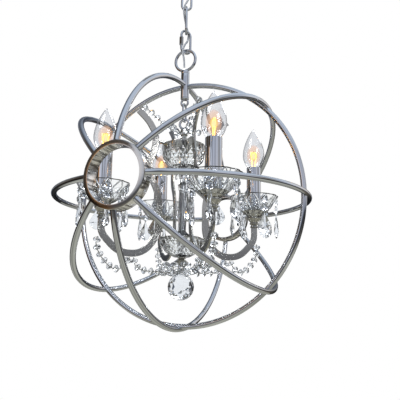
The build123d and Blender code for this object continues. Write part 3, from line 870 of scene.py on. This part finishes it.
# A glass surface of diamonds standing out from a turned form, row by row
def diamondRows(mesh, rows, count, rise):
    rings = []
    for k, (radius, height) in enumerate(rows):
        rings.append(ringAt(mesh, radius, height, turnsRound(count, 0.5 * (k % 2))))
    for k in range(len(rows)):
        radius, height = rows[k][0] + rise, rows[k][1]
        shift = (k + 1) % 2
        for i in range(count):
            left, right = (i, (i + 1) % count) if k % 2 == 0 else (i - 1, i)
            top = rings[k + 1][i] if k < len(rows) - 1 else None
            bottom = rings[k - 1][i] if k > 0 else None
            a = 2 * pi * (i + 0.5 * shift) / count
            if top and bottom:
                peak = mesh.verts.new((radius * cos(a), radius * sin(a), height))
                ring = [rings[k][left], top, rings[k][right], bottom]
                for j in range(4):
                    mesh.faces.new((peak, ring[j - 1], ring[j]))
            else:
                mesh.faces.new((rings[k][left], rings[k][right], top or bottom))
    return rings[0], rings[-1]


def plainRings(mesh, outline, count):
    rings = [ringAt(mesh, radius, height, turnsRound(count)) for radius, height in outline]
    joinRings(mesh, rings)
    return rings


bowls = {
    "rimDia": 72.0,
    "footDia": 24.0,
    "wall": 3.5,
    "count": 24,            # diamonds round the rim
    "rows": 8,
    "rise": 0.9,            # of each diamond
    "bore": 8.2,
    # each curve's radius share at two thirds of its depth
    "waists": {"upper_bowl": 0.88, "lower_bowl": 0.76},
}


# A cut-glass bowl between two heights: diamonds outside, a smooth wall inside, a thick bored foot
def bowl(name, node):
    low, high = levelsOf(node)
    rim, foot = bowls["rimDia"] / 2 - bowls["rise"], bowls["footDia"] / 2
    waist = (rim * bowls["waists"][node], low + (high - low) / 3)
    curve = flowing([(foot, low), waist, (rim, high)], bowls["rows"] // 2)
    mesh = bmesh.new()
    bottom, top = diamondRows(mesh, [tuple(p) for p in curve], bowls["count"], bowls["rise"])
    wall, bore = bowls["wall"], bowls["bore"] / 2
    inside = [(r - wall, z) for r, z in reversed(curve) if z > low + wall]
    rings = plainRings(mesh, inside + [(bore, low + wall), (bore, low)], bowls["count"])
    joinRings(mesh, [top, rings[0]])
    joinRings(mesh, [rings[-1], bottom])
    return place(mesh, name, facetGlass, "candelabra", [node], flat=True)


bowl("upperBowl", "upper_bowl")
bowl("lowerBowl", "lower_bowl")


# A ball ground with bands of triangular facets
def cutBall(centre, radius, rows, count):
    mesh = bmesh.new()
    poles = [mesh.verts.new(centre + upwards * radius * s) for s in (-1, 1)]
    rings = []
    for k in range(1, rows):
        tilt = pi * k / rows - pi / 2
        turns = turnsRound(count, 0.5 * (k % 2))
        ways = [Vector((cos(tilt) * cos(a), cos(tilt) * sin(a), sin(tilt))) for a in turns]
        rings.append([mesh.verts.new(centre + way * radius) for way in ways])
    for k, (first, second) in enumerate(zip(rings, rings[1:])):
        for i in range(count):
            if k % 2 == 0:
                mesh.faces.new((first[i - 1], first[i], second[i]))
                mesh.faces.new((first[i], second[(i + 1) % count], second[i]))
            else:
                mesh.faces.new((first[i], second[i], second[i - 1]))
                mesh.faces.new((first[i], first[(i + 1) % count], second[i]))
    for pole, ring in ((poles[0], rings[0]), (poles[1], rings[-1])):
        for i in range(count):
            mesh.faces.new((pole, ring[i - 1], ring[i]))
    return mesh


pillar = {
    "sides": 16,
    "flute": 0.86,          # radius share at the bottom of each flute
    "fluted": (10, 74),     # heights between which the flutes run
    "height": 84.6,
    # (radius, height above its foot)
    "levels": [
        (12.0, 0), (12.0, 4), (8.5, 7), (6.4, 10), (6.8, 22),
        (8.0, 42), (6.8, 62), (6.2, 74), (7.6, 78), (8.0, 84.6),
    ],
}
low, high = levelsOf("glass_column")
mesh = bmesh.new()
rings, (fluteLow, fluteHigh) = [], pillar["fluted"]
for radius, height in pillar["levels"]:
    deep = pillar["flute"] if fluteLow <= height <= fluteHigh else 1
    reach = [radius * (deep if i % 2 else 1) for i in range(pillar["sides"])]
    rings.append(ringAt(mesh, reach, low + height, turnsRound(pillar["sides"])))
boreRadius = bowls["bore"] / 2
bore = plainRings(mesh, [(boreRadius, low + pillar["height"]), (boreRadius, low)], pillar["sides"])
joinRings(mesh, rings)
joinRings(mesh, [rings[-1], bore[0]])
joinRings(mesh, [bore[-1], rings[0]])
place(mesh, "glassColumn", facetGlass, "candelabra", ["glass_column"], flat=True)

knob = {"dia": 26.0, "rows": 8, "count": 12}
mesh = cutBall(middleOf("glass_knob"), knob["dia"] / 2, knob["rows"], knob["count"])
place(mesh, "glassKnob", facetGlass, "candelabra", ["glass_knob"], flat=True)

finial = {
    "ringDia": 8.5,
    "wire": 1.8,
    # (radius, height below the lower bowl's foot)
    "profile": [
        (0, 0), (6.5, 0), (6.5, 1.5), (5.0, 2.6), (6.8, 4.2), (9.0, 6.6),
        (7.4, 9.2), (4.4, 10.8), (4.8, 12.0), (3.2, 13.0), (0, 13.0),
    ],
}
foot = boxOf("lower_bowl")[0].z
eyeLow = boxOf("finial")[0].z
mesh = turned(eased([(r, foot - z) for r, z in finial["profile"]], 0.7), 40)
place(mesh, "finialTurning", agedPewter, "candelabra", ["finial"])
mesh = wireRing(finial["ringDia"], finial["wire"], 28, 10)
place(mesh, "finialEye", polishedChrome, "candelabra", where=atHeight(eyeLow + finial["ringDia"] / 2))

ball = {"dia": 41.0, "rows": 12, "count": 16}
pinTop = boxOf("ball_pin")[1].z
mesh = wireRing(finial["ringDia"], finial["wire"], 28, 10)
place(mesh, "ballEye", polishedChrome, "crystal_ball", ["ball_pin"],
      facing(forwards, upwards, (0, 0, pinTop - finial["ringDia"] / 2)))
low, high = levelsOf("crystal_ball")
mesh = cutBall(Vector((0, 0, high - ball["dia"] / 2)), ball["dia"] / 2, ball["rows"], ball["count"])
place(mesh, "crystalBall", leadCrystal, "crystal_ball", ["crystal_ball"], flat=True)
print("column made")


# Flat bars bent on edge, from the scroll at the top to the seat under the candle
arms = {
    "width": 10.5,
    "thick": 3.0,
    "ease": 0.5,
    "bendShare": 0.45,
    # (radius, height above the candelabra's datum) of each corner before bending
    "corners": [
        (77, 142), (60, 127), (47.5, 106), (47.5, 84), (61, 47), (39.2, 8),
        (39.2, -57), (63, -87), (100, -87), (128, -58), (128, -36),
    ],
}


# The bar's centre line, with the largest arc that the runs beside each corner allow
def barLine():
    places = [Vector((r, 0, z)) for r, z in arms["corners"]]
    made = [places[0]]
    for before, here, after in zip(places, places[1:], places[2:]):
        into, out = before - here, after - here
        reach = arms["bendShare"] * min(into.length, out.length)
        half = into.angle(out) / 2
        radius = reach * sin(half) / cos(half)
        centre = here + (into.normalized() + out.normalized()).normalized() * radius / sin(half)
        first = (here + into.normalized() * reach - centre).normalized()
        last = (here + out.normalized() * reach - centre).normalized()
        for k in range(9):
            made.append(centre + first.slerp(last, k / 8) * radius)
    return made + [places[-1]]


halfWide, halfThick, ease = arms["width"] / 2, arms["thick"] / 2, arms["ease"]
barCorner = [(halfWide, halfThick - ease), (halfWide - ease, halfThick)]
barEdge = barCorner + [(-u, v) for u, v in reversed(barCorner)]
barSection = barEdge + [(u, -v) for u, v in reversed(barEdge)]
for side in sides:
    spot = candleSpots[side]
    mesh = swept(barLine(), barSection)
    place(mesh, "arm" + tagOf(side), agedPewter, "candelabra", [f"arm_{side}"],
          facing(spot, upwards, (0, 0, datum)), sharpAngle=40)
print("arms made")


stack = {
    "cupFluting": 16,
    "cupFluteDepth": 0.06,
    "cupFluted": (-28, -21),  # heights between which the flutes run
    # (radius, height above the candelabra's datum)
    "cup": [
        (0, -36), (6.5, -36), (6.5, -34), (5.0, -32.5), (5.0, -31.5), (7.6, -30), (7.6, -28.6),
        (6.4, -27.6), (8.6, -24.5), (10.8, -22), (11.5, -20.5), (11.5, -19), (0, -19),
    ],
    "rosetteSpan": (11.5, 21.5),
    "rosetteHeights": (-19.0, -8.0),
    "rosetteFlare": 2.2,
    "rosettePetals": 12,
    "rosetteNotch": 0.08,   # radius share lost between two petals
    "rosetteWall": 1.6,
    "rosetteBore": 6.2,
    "sleeveDia": 24.0,
    "sleeveWall": 1.0,
    "sleeveLow": -11.0,
    "sleeveTop": 67.5,
}
bobeche = {
    "scallops": 12,
    "scallopDepth": 1.6,
    "perScallop": 8,
    "wall": 2.5,
    "wallShift": (0.8, 0.55),  # shares of the wall that the inside lies inwards and upwards
    "lip": 1.4,             # width of the flat rim
    "floor": -13.5,
    # (radius, height) of the outside, from the foot to the rim
    "outside": [(14, -13.5), (24, -7.5), (33, 4), (38, 11), (41, 17)],
    "boreDia": 6.2,
}
bulb = {
    # (radius, height above the candelabra's datum)
    "outline": [
        (9.5, 67.5), (13.6, 73), (17.4, 82), (18.4, 91), (17.0, 102),
        (13.2, 114), (8.8, 124), (4.6, 131.5), (1.6, 135.6),
    ],
    "tip": 137.0,
    "tipGlass": 2.4,        # thickness under the tip
    "wall": 0.6,
    "baseDia": 11.8,
    "baseLow": 42.0,
    "baseTop": 60.2,
    "seat": (9.4, 67.3),    # radius and height of the base under the glass
    "grooveDepth": 0.4,
    "grooveStep": 0.9,      # from a crest to the next root
    "filamentDia": 0.9,
    "filamentLow": 84.0,
    "filamentTop": 96.0,
    "filamentReach": 5.0,
    "leads": [(2.2, 66), (3.2, 78)],  # (half their gap, height)
    "glow": (13.0, 17.0, 89.0),   # width, height and middle
    "halo": (25.0, 38.0, 90.0),
}


# A grid of rings with a UV map: u counts turns, v rises from one end to the other
def gridRings(mesh, rings, uvLayer):
    count = len(rings[0])
    for k, (first, second) in enumerate(zip(rings, rings[1:])):
        for j in range(count):
            face = mesh.faces.new((first[j - 1], first[j], second[j], second[j - 1]))
            low = j - 1 if j else count - 1
            spots = [(low, k), (low + 1, k), (low + 1, k + 1), (low, k + 1)]
            for loop, (turn, step) in zip(face.loops, spots):
                loop[uvLayer].uv = (turn / count, step / (len(rings) - 1))


# A bored dish whose rim runs in scallops that fade out towards its foot
def dish():
    mesh = bmesh.new()
    uvLayer = mesh.loops.layers.uv.new("cuts")
    count = bobeche["scallops"] * bobeche["perScallop"]
    turns = turnsRound(count)
    notches = [1 - abs(cos(bobeche["scallops"] / 2 * a)) for a in turns]
    outside = [tuple(p) for p in flowing(bobeche["outside"], 3)]
    foot, (rim, rimTop) = outside[0][0], outside[-1]
    wall, bore, floor = bobeche["wall"], bobeche["boreDia"] / 2, bobeche["floor"]
    inwards, lift = [wall * share for share in bobeche["wallShift"]]
    inside = [(rim - bobeche["lip"], rimTop)]
    inside += [(r - inwards, z + lift) for r, z in reversed(outside[:-1])]
    inside += [(bore, floor + wall), (bore, floor)]

    def ringOf(radius, height):
        depth = bobeche["scallopDepth"] / rim * max(0.0, (radius - foot) / (rim - foot))
        return ringAt(mesh, [radius * (1 - depth * notch) for notch in notches], height, turns)

    outer = [ringOf(*p) for p in outside]
    inner = [ringOf(*p) for p in inside]
    gridRings(mesh, outer, uvLayer)
    joinRings(mesh, [outer[-1]] + inner + [outer[0]])
    # the faces without cuts sit between two cuts on the map
    mesh.faces.ensure_lookup_table()
    for face in mesh.faces[(len(outer) - 1) * count:]:
        for loop in face.loops:
            loop[uvLayer].uv = (0.5 / glassValues["crossings"], 0)
    return mesh


# Upright flutes round the cup's belly
def cupRipple(turn, height):
    low, high = stack["cupFluted"]
    return 1 + stack["cupFluteDepth"] * (cos(stack["cupFluting"] * turn) - 1) if low < height < high else 1


# A shallow cup of rounded petals, bored for the stack's rod
def rosette():
    mesh = bmesh.new()
    turns = turnsRound(stack["rosettePetals"] * 8)
    notches = [1 - abs(cos(stack["rosettePetals"] / 2 * a)) for a in turns]
    (inner, outer), (low, high) = stack["rosetteSpan"], stack["rosetteHeights"]
    wall, boreRadius = stack["rosetteWall"], stack["rosetteBore"] / 2
    outside, inside = [], []
    for share in (0, 0.3, 0.55, 0.78, 0.92, 1.0):
        radius = inner + (outer - inner) * share ** stack["rosetteFlare"]
        height = low + (high - low) * share
        reach = [radius * (1 - stack["rosetteNotch"] * share * notch) for notch in notches]
        lift = wall if share < 0.9 else 0
        outside.append(ringAt(mesh, reach, height, turns))
        inside.append(ringAt(mesh, [r - wall for r in reach], height + lift, turns))
    bore = plainRings(mesh, [(boreRadius, low + wall), (boreRadius, low)], len(turns))
    joinRings(mesh, outside + inside[::-1])
    joinRings(mesh, [inside[0], bore[0]])
    joinRings(mesh, [bore[-1], outside[0]])
    return mesh


# A flame-shaped glass: an outer and an inner wall, joined at the foot
def envelope():
    outside = [tuple(p) for p in flowing(bulb["outline"], 4)]
    inside = [(r - bulb["wall"], z) for r, z in reversed(outside[:-1])]
    mesh = turned(outside + [(0, bulb["tip"])], 40)
    turned([(0, bulb["tip"] - bulb["tipGlass"])] + inside, 40, mesh=mesh)
    bmesh.ops.bridge_loops(mesh, edges=[e for e in mesh.edges if e.is_boundary])
    return mesh


# A looped filament on two leads, drawn as one wire
def filamentWire():
    mesh = bmesh.new()
    low, top, reach = bulb["filamentLow"], bulb["filamentTop"], bulb["filamentReach"]
    middle, rise = (low + top) / 2, (top - low) / 2 * 0.9
    leads = bulb["leads"] + [(reach, low + 4)]
    points = [Vector((-x, 0, z)) for x, z in leads]
    steps = 60
    for i in range(steps + 1):
        share = i / steps
        sway = -reach + 2 * reach * share
        loop = middle + rise * cos(share * 6 * pi)
        points.append(Vector((sway, 1.5 * sin(share * 14 * pi), loop)))
    points += [Vector((x, 0, z)) for x, z in reversed(leads)]
    tubeAlong(mesh, points, bulb["filamentDia"], 6)
    return mesh


# The egg that carries the glare
def glowBody(wide, high, middle):
    mesh = bmesh.new()
    bmesh.ops.create_uvsphere(mesh, u_segments=24, v_segments=16, radius=0.5)
    bmesh.ops.scale(mesh, vec=(wide, wide, high), verts=mesh.verts)
    bmesh.ops.translate(mesh, vec=(0, 0, middle), verts=mesh.verts)
    return mesh


cups, rosettes = bmesh.new(), bmesh.new()


# The faces of one mesh copied into another at a place
def addTo(target, source, where):
    bmesh.ops.transform(source, matrix=where, verts=source.verts)
    bmesh.ops.recalc_face_normals(source, faces=source.faces)
    carrier = bpy.data.meshes.new("carrier")
    source.to_mesh(carrier)
    source.free()
    target.from_mesh(carrier)
    bpy.data.meshes.remove(carrier)


for side in sides:
    tag = tagOf(side)
    spot = candleSpots[side]
    where = facing(spot, upwards, spot + upwards * datum)
    lampBody = f"lamp_{side}"
    one = turned(eased(stack["cup"], 0.5, steps=2), 64, ripple=cupRipple)
    addTo(cups, one, where)
    addTo(rosettes, rosette(), where)
    place(dish(), f"bobeche{tag}", bobecheGlass, "candelabra", [f"bobeche_{side}"], where)
    outer = stack["sleeveDia"] / 2
    inner = outer - stack["sleeveWall"]
    mesh = tube(inner, outer, stack["sleeveLow"], stack["sleeveTop"], 0.3, 56)
    place(mesh, f"sleeve{tag}", polishedChrome, "candelabra", [f"candle_sleeve_{side}"], where)
    place(envelope(), f"bulb{tag}", bulbGlass, lampBody, [lampBody], where)
    place(filamentWire(), f"filament{tag}", tungsten, lampBody, where=where)
    place(glowBody(*bulb["glow"]), f"glow{tag}", filamentGlare, lampBody, where=where)
    place(glowBody(*bulb["halo"]), f"halo{tag}", filamentHalo, lampBody, where=where)
    radius = bulb["baseDia"] / 2
    seatRadius, seatTop = bulb["seat"]
    grooveFoot = bulb["baseLow"] + 2.5
    depths = [bulb["grooveDepth"] * (i % 2) for i in range(15)]
    grooves = [(radius - depth, grooveFoot + bulb["grooveStep"] * i) for i, depth in enumerate(depths)]
    base = [(0, bulb["baseLow"]), (2.5, bulb["baseLow"]), (radius - 1, bulb["baseLow"] + 1.5)]
    base += grooves + [(radius, bulb["baseTop"]), (seatRadius, seatTop), (0, seatTop)]
    mesh = turned(base, 32)
    place(mesh, f"lampBase{tag}", zincSteel, lampBody, where=where, sharpAngle=50)
place(cups, "vaseCups", agedPewter, "candelabra", ["vase_cups"], sharpAngle=50)
place(rosettes, "rosettes", agedPewter, "candelabra", ["rosettes"], sharpAngle=50)
print("candle stacks made")


# Each crystal sits at its CAD solid's place
gems = {
    "girdle": 1.6,          # thickness at the edge
    "table": 0.5,           # the raised middle's share of the width
    "octagonThick": 6.0,
    "dropThick": 8.0,
    "beadSides": 8,
    "beadSpread": 1.25,     # past the CAD's plain bead
    "wire": 0.8,
    "wireRing": 3.4,
    "pinDia": 1.5,          # of the crimped pins between beads
    "starRise": 0.34,       # share of the thickness that a drop's inner corners stand out
    "octagonUnder": 15.0,   # length under which a solid is an octagon
    "pearOver": 15.0,       # width over which a drop is a pear and not a spear
    # right halves of the outlines, in shares of width and length
    "pear": [
        (0.0, 0.0), (0.09, -0.12), (0.2, -0.26), (0.36, -0.44),
        (0.48, -0.6), (0.5, -0.72), (0.4, -0.86), (0.2, -0.96),
    ],
    "spear": [
        (0.0, 0.0), (0.26, -0.05), (0.3, -0.14), (0.22, -0.34),
        (0.26, -0.52), (0.44, -0.68), (0.5, -0.8), (0.3, -0.93),
    ],
    # share of the length where each is thickest, and its width past the CAD's plain prism
    "peaks": {"pear": 0.65, "spear": 0.72},
    "spreads": {"pear": 1.15, "spear": 1.0},
    # (radius, height) of a bead's corners, in shares of its radius and half length
    "beadLevels": [(0.5, -0.688), (1.0, -0.224), (1.0, 0.224), (0.5, 0.688)],
}


# A flat cut gem in the XZ plane: a girdle, a band of slanting facets and a raised middle
def gem(mesh, outline, thick, peak, star=False):
    girdle = gems["girdle"] / 2
    edges = [[mesh.verts.new((x, y, z)) for x, z in outline] for y in (-girdle, girdle)]
    joinRings(mesh, edges)
    count, share = len(outline), gems["table"]
    rise = thick * (gems["starRise"] if star else 0.5)
    for y, edge in zip((-1, 1), edges):
        inner = []
        for i in range(count):
            x, z = outline[i]
            if star:
                x, z = (x + outline[i - 1][0]) / 2, (z + outline[i - 1][1]) / 2
            inner.append(mesh.verts.new((x * share, y * rise, peak + (z - peak) * share)))
        if star:
            top = mesh.verts.new((0, y * thick / 2, peak))
            for i in range(count):
                mesh.faces.new((edge[i - 1], edge[i], inner[i]))
                mesh.faces.new((edge[i], inner[(i + 1) % count], inner[i]))
                mesh.faces.new((inner[i], inner[(i + 1) % count], top))
        else:
            joinRings(mesh, [edge, inner])
            mesh.faces.new(inner)


def dropOutline(half, width, length):
    right = [(x * width, z * length) for x, z in half]
    return right + [(0, -length)] + [(-x, z) for x, z in reversed(right[1:])]


octagon = [(sin(pi / 4 * i) / 2, cos(pi / 4 * i) / 2 - 0.5) for i in range(8)]
for side in sides:
    tag = tagOf(side)
    mesh, pins = bmesh.new(), bmesh.new()
    for solid in solidsOf(f"drops_{side}"):
        top = max(solid, key=lambda c: c.z)
        length = top.z - min(c.z for c in solid)
        outward = Vector((*(top - candleSpots[side]).xy, 0)).normalized()
        sideways = outward.cross(upwards)
        width = 2 * max(abs((c - top).dot(sideways)) for c in solid)
        one = bmesh.new()
        if length < gems["octagonUnder"]:
            gem(one, [(x * length, z * length) for x, z in octagon], gems["octagonThick"], -length / 2)
        else:
            kind = "pear" if width > gems["pearOver"] else "spear"
            outline = dropOutline(gems[kind], width * gems["spreads"][kind], length)
            gem(one, outline, gems["dropThick"], -gems["peaks"][kind] * length, star=True)
        addTo(mesh, one, facing(sideways, upwards, top))
        ring = wireRing(gems["wireRing"], gems["wire"], 12, 6)
        addTo(pins, ring, facing(outward, upwards, top))
    place(mesh, f"drops{tag}", leadCrystal, "candelabra", [f"drops_{side}"], flat=True)
    place(pins, f"dropPins{tag}", polishedChrome, "candelabra")

# Each bead points at its solid's farthest corner, so it leans a little off its own axis.
# Where several corners are as far, chance picks one, and the bead's lean varies between runs.
mesh, pins = bmesh.new(), bmesh.new()
for solid in solidsOf("bead_swags"):
    centre = sum(solid, Vector()) / len(solid)
    end = max(solid, key=lambda c: (c - centre).length)
    along = (end - centre).normalized()
    half = (end - centre).length
    radius = max((c - centre - along * (c - centre).dot(along)).length for c in solid)
    radius *= gems["beadSpread"]
    one = bmesh.new()
    turns = turnsRound(gems["beadSides"])
    rings = [ringAt(one, radius * share, half * rise, turns) for share, rise in gems["beadLevels"]]
    joinRings(one, rings)
    one.faces.new(rings[0])
    one.faces.new(rings[-1])
    across = along.orthogonal()
    addTo(mesh, one, facing(across, along, centre))
    wire = turned([(0, -half), (gems["pinDia"] / 2, -half), (gems["pinDia"] / 2, half), (0, half)], 6)
    addTo(pins, wire, facing(across, along, centre))
place(mesh, "beadSwags", leadCrystal, "candelabra", ["bead_swags"], flat=True)
place(pins, "swagPins", agedPewter, "candelabra")
print("crystals made")


studio = {
    "floorHeight": -1400.0,
    "floorDia": 3600.0,
    "floorColour": "#F2F2F0",
    "wallRadius": 2600.0,
    "worldStrength": 0.75,
    # (height, colour) of the grey screens round the object, which only metal and glass show
    "screen": [
        (-1400, "#8A8880"), (-1000, "#66645F"), (-700, "#4E4E50"), (-450, "#46484C"),
        (-330, "#B0B6C0"), (100, "#F0F2F8"), (1500, "#E0E8F4"),
    ],
    # (direction, colour) of the upright stripes painted over them
    "stripes": [
        (-180, "#70747C"), (-156, "#4E5056"), (-125, "#868A92"), (-90, "#7C7468"), (-70, "#4C443C"),
        (-46, "#4C443C"), (-40, "#FFC080"), (-35, "#FFC080"), (-29, "#F8F8FF"), (-12, "#F4F4F8"),
        (0, "#D8DCE6"), (7, "#989CA4"), (16, "#D8DAE2"), (30, "#DCDEE6"), (42, "#AEB0B6"),
        (58, "#E4E4EA"), (80, "#DADADE"), (98, "#9C968C"), (118, "#D0D4DC"), (130, "#FFFFFF"),
        (158, "#FFF4E8"), (168, "#B0ACA4"), (180, "#70747C"),
    ],
    # a dark card that the ring's face shows: first and last direction, lowest and highest edge
    "card": (-75, -20, 650, 1500),
    "cardTone": "#4E463E",
    "reflectedShare": 0.6,  # of the tones in what glass reflects inside itself
    # (distance across, colour) of the floor that metal shows
    "floorTones": [
        (-2600, "#6E6E66"), (-1300, "#C4C4BA"), (-600, "#8C8C82"), (-100, "#C2C2B6"),
        (500, "#98988E"), (1400, "#C8C8BE"), (2600, "#8A8A80"),
    ],
    # (distance across, colour) of the ceiling, darker over the left side
    "ceiling": [
        (-2600, "#3C4048"), (-1300, "#6E7682"), (-300, "#C4D0E0"), (600, "#D6E2F2"), (2600, "#C8D2E0"),
    ],
    # (name, first and last direction, whether its own tones show straight through glass);
    # where they don't, glass shows the white ground
    "screens": [
        ("screenFront", 190, 350, True),
        ("screenRight", -10, 75, True),
        ("screenRear", 75, 155, False),
        ("screenLeft", 155, 190, True),
    ],
    # azimuth, elevation, distance, size, watts
    "lights": [(-35, 50, 1900, 1100, 60), (60, 25, 2000, 900, 24), (170, 45, 2000, 1200, 30)],
}
mesh = bmesh.new()
bmesh.ops.create_circle(mesh, cap_ends=True, segments=96, radius=studio["floorDia"] / 2)
floorPaint = newMaterial("paleFloor", **{"Base Color": linear(studio["floorColour"]), "Roughness": 0.8})[0]
floor = place(mesh, "floor", floorPaint, None, where=atHeight(studio["floorHeight"]))


def glowing(name, colour):
    material, tree, shader = newMaterial(name)
    light = addNode(tree, "ShaderNodeEmission", {"Color": colour(tree)})
    showInstead(tree, shader, light)
    return material


# White where a ray comes straight through glass, nearer the tone once glass has reflected it
def behindGlass(tree, tone):
    path = addNode(tree, "ShaderNodeLightPath").outputs
    ends = {"To Min": 1.0, "To Max": 1 - studio["reflectedShare"]}
    reflected = addNode(tree, "ShaderNodeMapRange", {"Value": path["Glossy Depth"], **ends}).outputs[0]
    both = {0: reflected, 1: path["Is Transmission Ray"]}
    share = addNode(tree, "ShaderNodeMath", both, operation="MULTIPLY").outputs[0]
    mix = {0: share, 6: tone, 7: (1.0, 1.0, 1.0, 1.0)}
    return addNode(tree, "ShaderNodeMix", mix, data_type="RGBA").outputs[2]


def screenTone(tree):
    where = addNode(tree, "ShaderNodeTexCoord").outputs["Object"]
    parts = addNode(tree, "ShaderNodeSeparateXYZ", {"Vector": where}).outputs
    toFront = addNode(tree, "ShaderNodeMath", {0: parts["Y"], 1: -1.0}, operation="MULTIPLY").outputs[0]
    turn = addNode(tree, "ShaderNodeMath", {0: parts["X"], 1: toFront}, operation="ARCTAN2").outputs[0]
    tones = rampOver(tree, parts["Z"], studio["screen"], mm)
    stripes = rampOver(tree, turn, studio["stripes"], pi / 180)
    mix = {0: 1.0, 6: tones, 7: stripes}
    return addNode(tree, "ShaderNodeMix", mix, data_type="RGBA", blend_type="MULTIPLY").outputs[2]


def rearTone(tree):
    return behindGlass(tree, screenTone(tree))


def cardTone(tree):
    new = addNode(tree, "ShaderNodeRGB")
    new.outputs[0].default_value = linear(studio["cardTone"])
    return behindGlass(tree, new.outputs[0])


# A tone that changes across the studio, from a list of (distance, colour)
def acrossTone(pairs):
    def made(tree):
        where = addNode(tree, "ShaderNodeTexCoord").outputs["Object"]
        across = addNode(tree, "ShaderNodeSeparateXYZ", {"Vector": where}).outputs["X"]
        return behindGlass(tree, rampOver(tree, across, pairs, mm))
    return made


openPaint, rearPaint = glowing("greyScreen", screenTone), glowing("rearScreen", rearTone)


# A screen that only metal and glass show
def unseen(screen):
    screen.visible_camera = screen.visible_diffuse = screen.visible_shadow = False


heights = [z for z, colour in studio["screen"]]
for name, begin, end, throughGlass in studio["screens"]:
    mesh = bmesh.new()
    foot = [levelAt(a) * studio["wallRadius"] for a in range(begin, end + 1, 5)]
    low, high = [[mesh.verts.new((*p.xy, z)) for p in foot] for z in (heights[0], heights[-1])]
    for i in range(len(low) - 1):
        mesh.faces.new((low[i], low[i + 1], high[i + 1], high[i]))
    unseen(place(mesh, name, openPaint if throughGlass else rearPaint, None))
discs = [
    ("screenFloor", heights[0] + 5, studio["floorTones"]),
    ("screenCeiling", heights[-1], studio["ceiling"]),
]
for name, height, tones in discs:
    mesh = bmesh.new()
    bmesh.ops.create_circle(mesh, cap_ends=True, segments=64, radius=studio["wallRadius"])
    unseen(place(mesh, name, glowing(name, acrossTone(tones)), None, where=atHeight(height)))

# The card is an arc closed by a flat sheet, and the sheet is what faces the object
mesh = bmesh.new()
begin, end, low, high = studio["card"]
reach = studio["wallRadius"] - 60
edge = [levelAt(a - 90) * reach for a in range(begin, end + 1, 5)]
joinRings(mesh, [[mesh.verts.new((*p.xy, z)) for p in edge] for z in (low, high)])
unseen(place(mesh, "darkCard", glowing("darkCard", cardTone), None))

# A white ground, dimmer as a light than where it is seen
world = bpy.data.worlds.new("whiteStudio")
world.use_nodes = True
tree = world.node_tree
tree.nodes.clear()
path = addNode(tree, "ShaderNodeLightPath").outputs
seen = path["Is Camera Ray"]
for kind in ("Is Glossy Ray", "Is Transmission Ray"):
    seen = addNode(tree, "ShaderNodeMath", {0: seen, 1: path[kind]}, operation="MAXIMUM").outputs[0]
ends = {"To Min": studio["worldStrength"], "To Max": 1.0}
strength = addNode(tree, "ShaderNodeMapRange", {"Value": seen, **ends}).outputs[0]
sky = addNode(tree, "ShaderNodeBackground", {"Color": (1.0, 1.0, 1.0, 1.0), "Strength": strength})
addNode(tree, "ShaderNodeOutputWorld", {"Surface": sky.outputs[0]})
bpy.context.scene.world = world

for index, (turn, tilt, distance, size, watts) in enumerate(studio["lights"]):
    data = bpy.data.lights.new(f"softbox{index}", "AREA")
    data.shape = "DISK"
    data.size = size * mm
    data.energy = watts
    lamp = bpy.data.objects.new(f"softbox{index}", data)
    bpy.context.collection.objects.link(lamp)
    a, e = radians(turn), radians(tilt)
    away = Vector((sin(a) * cos(e), -cos(a) * cos(e), sin(e)))
    lamp.location = (cageCentre + away * distance) * mm
    lamp.rotation_euler = away.to_track_quat("Z", "Y").to_euler()
    lamp.visible_glossy = False
bpy.context.scene.view_settings.view_transform = "Standard"

print("scene made")
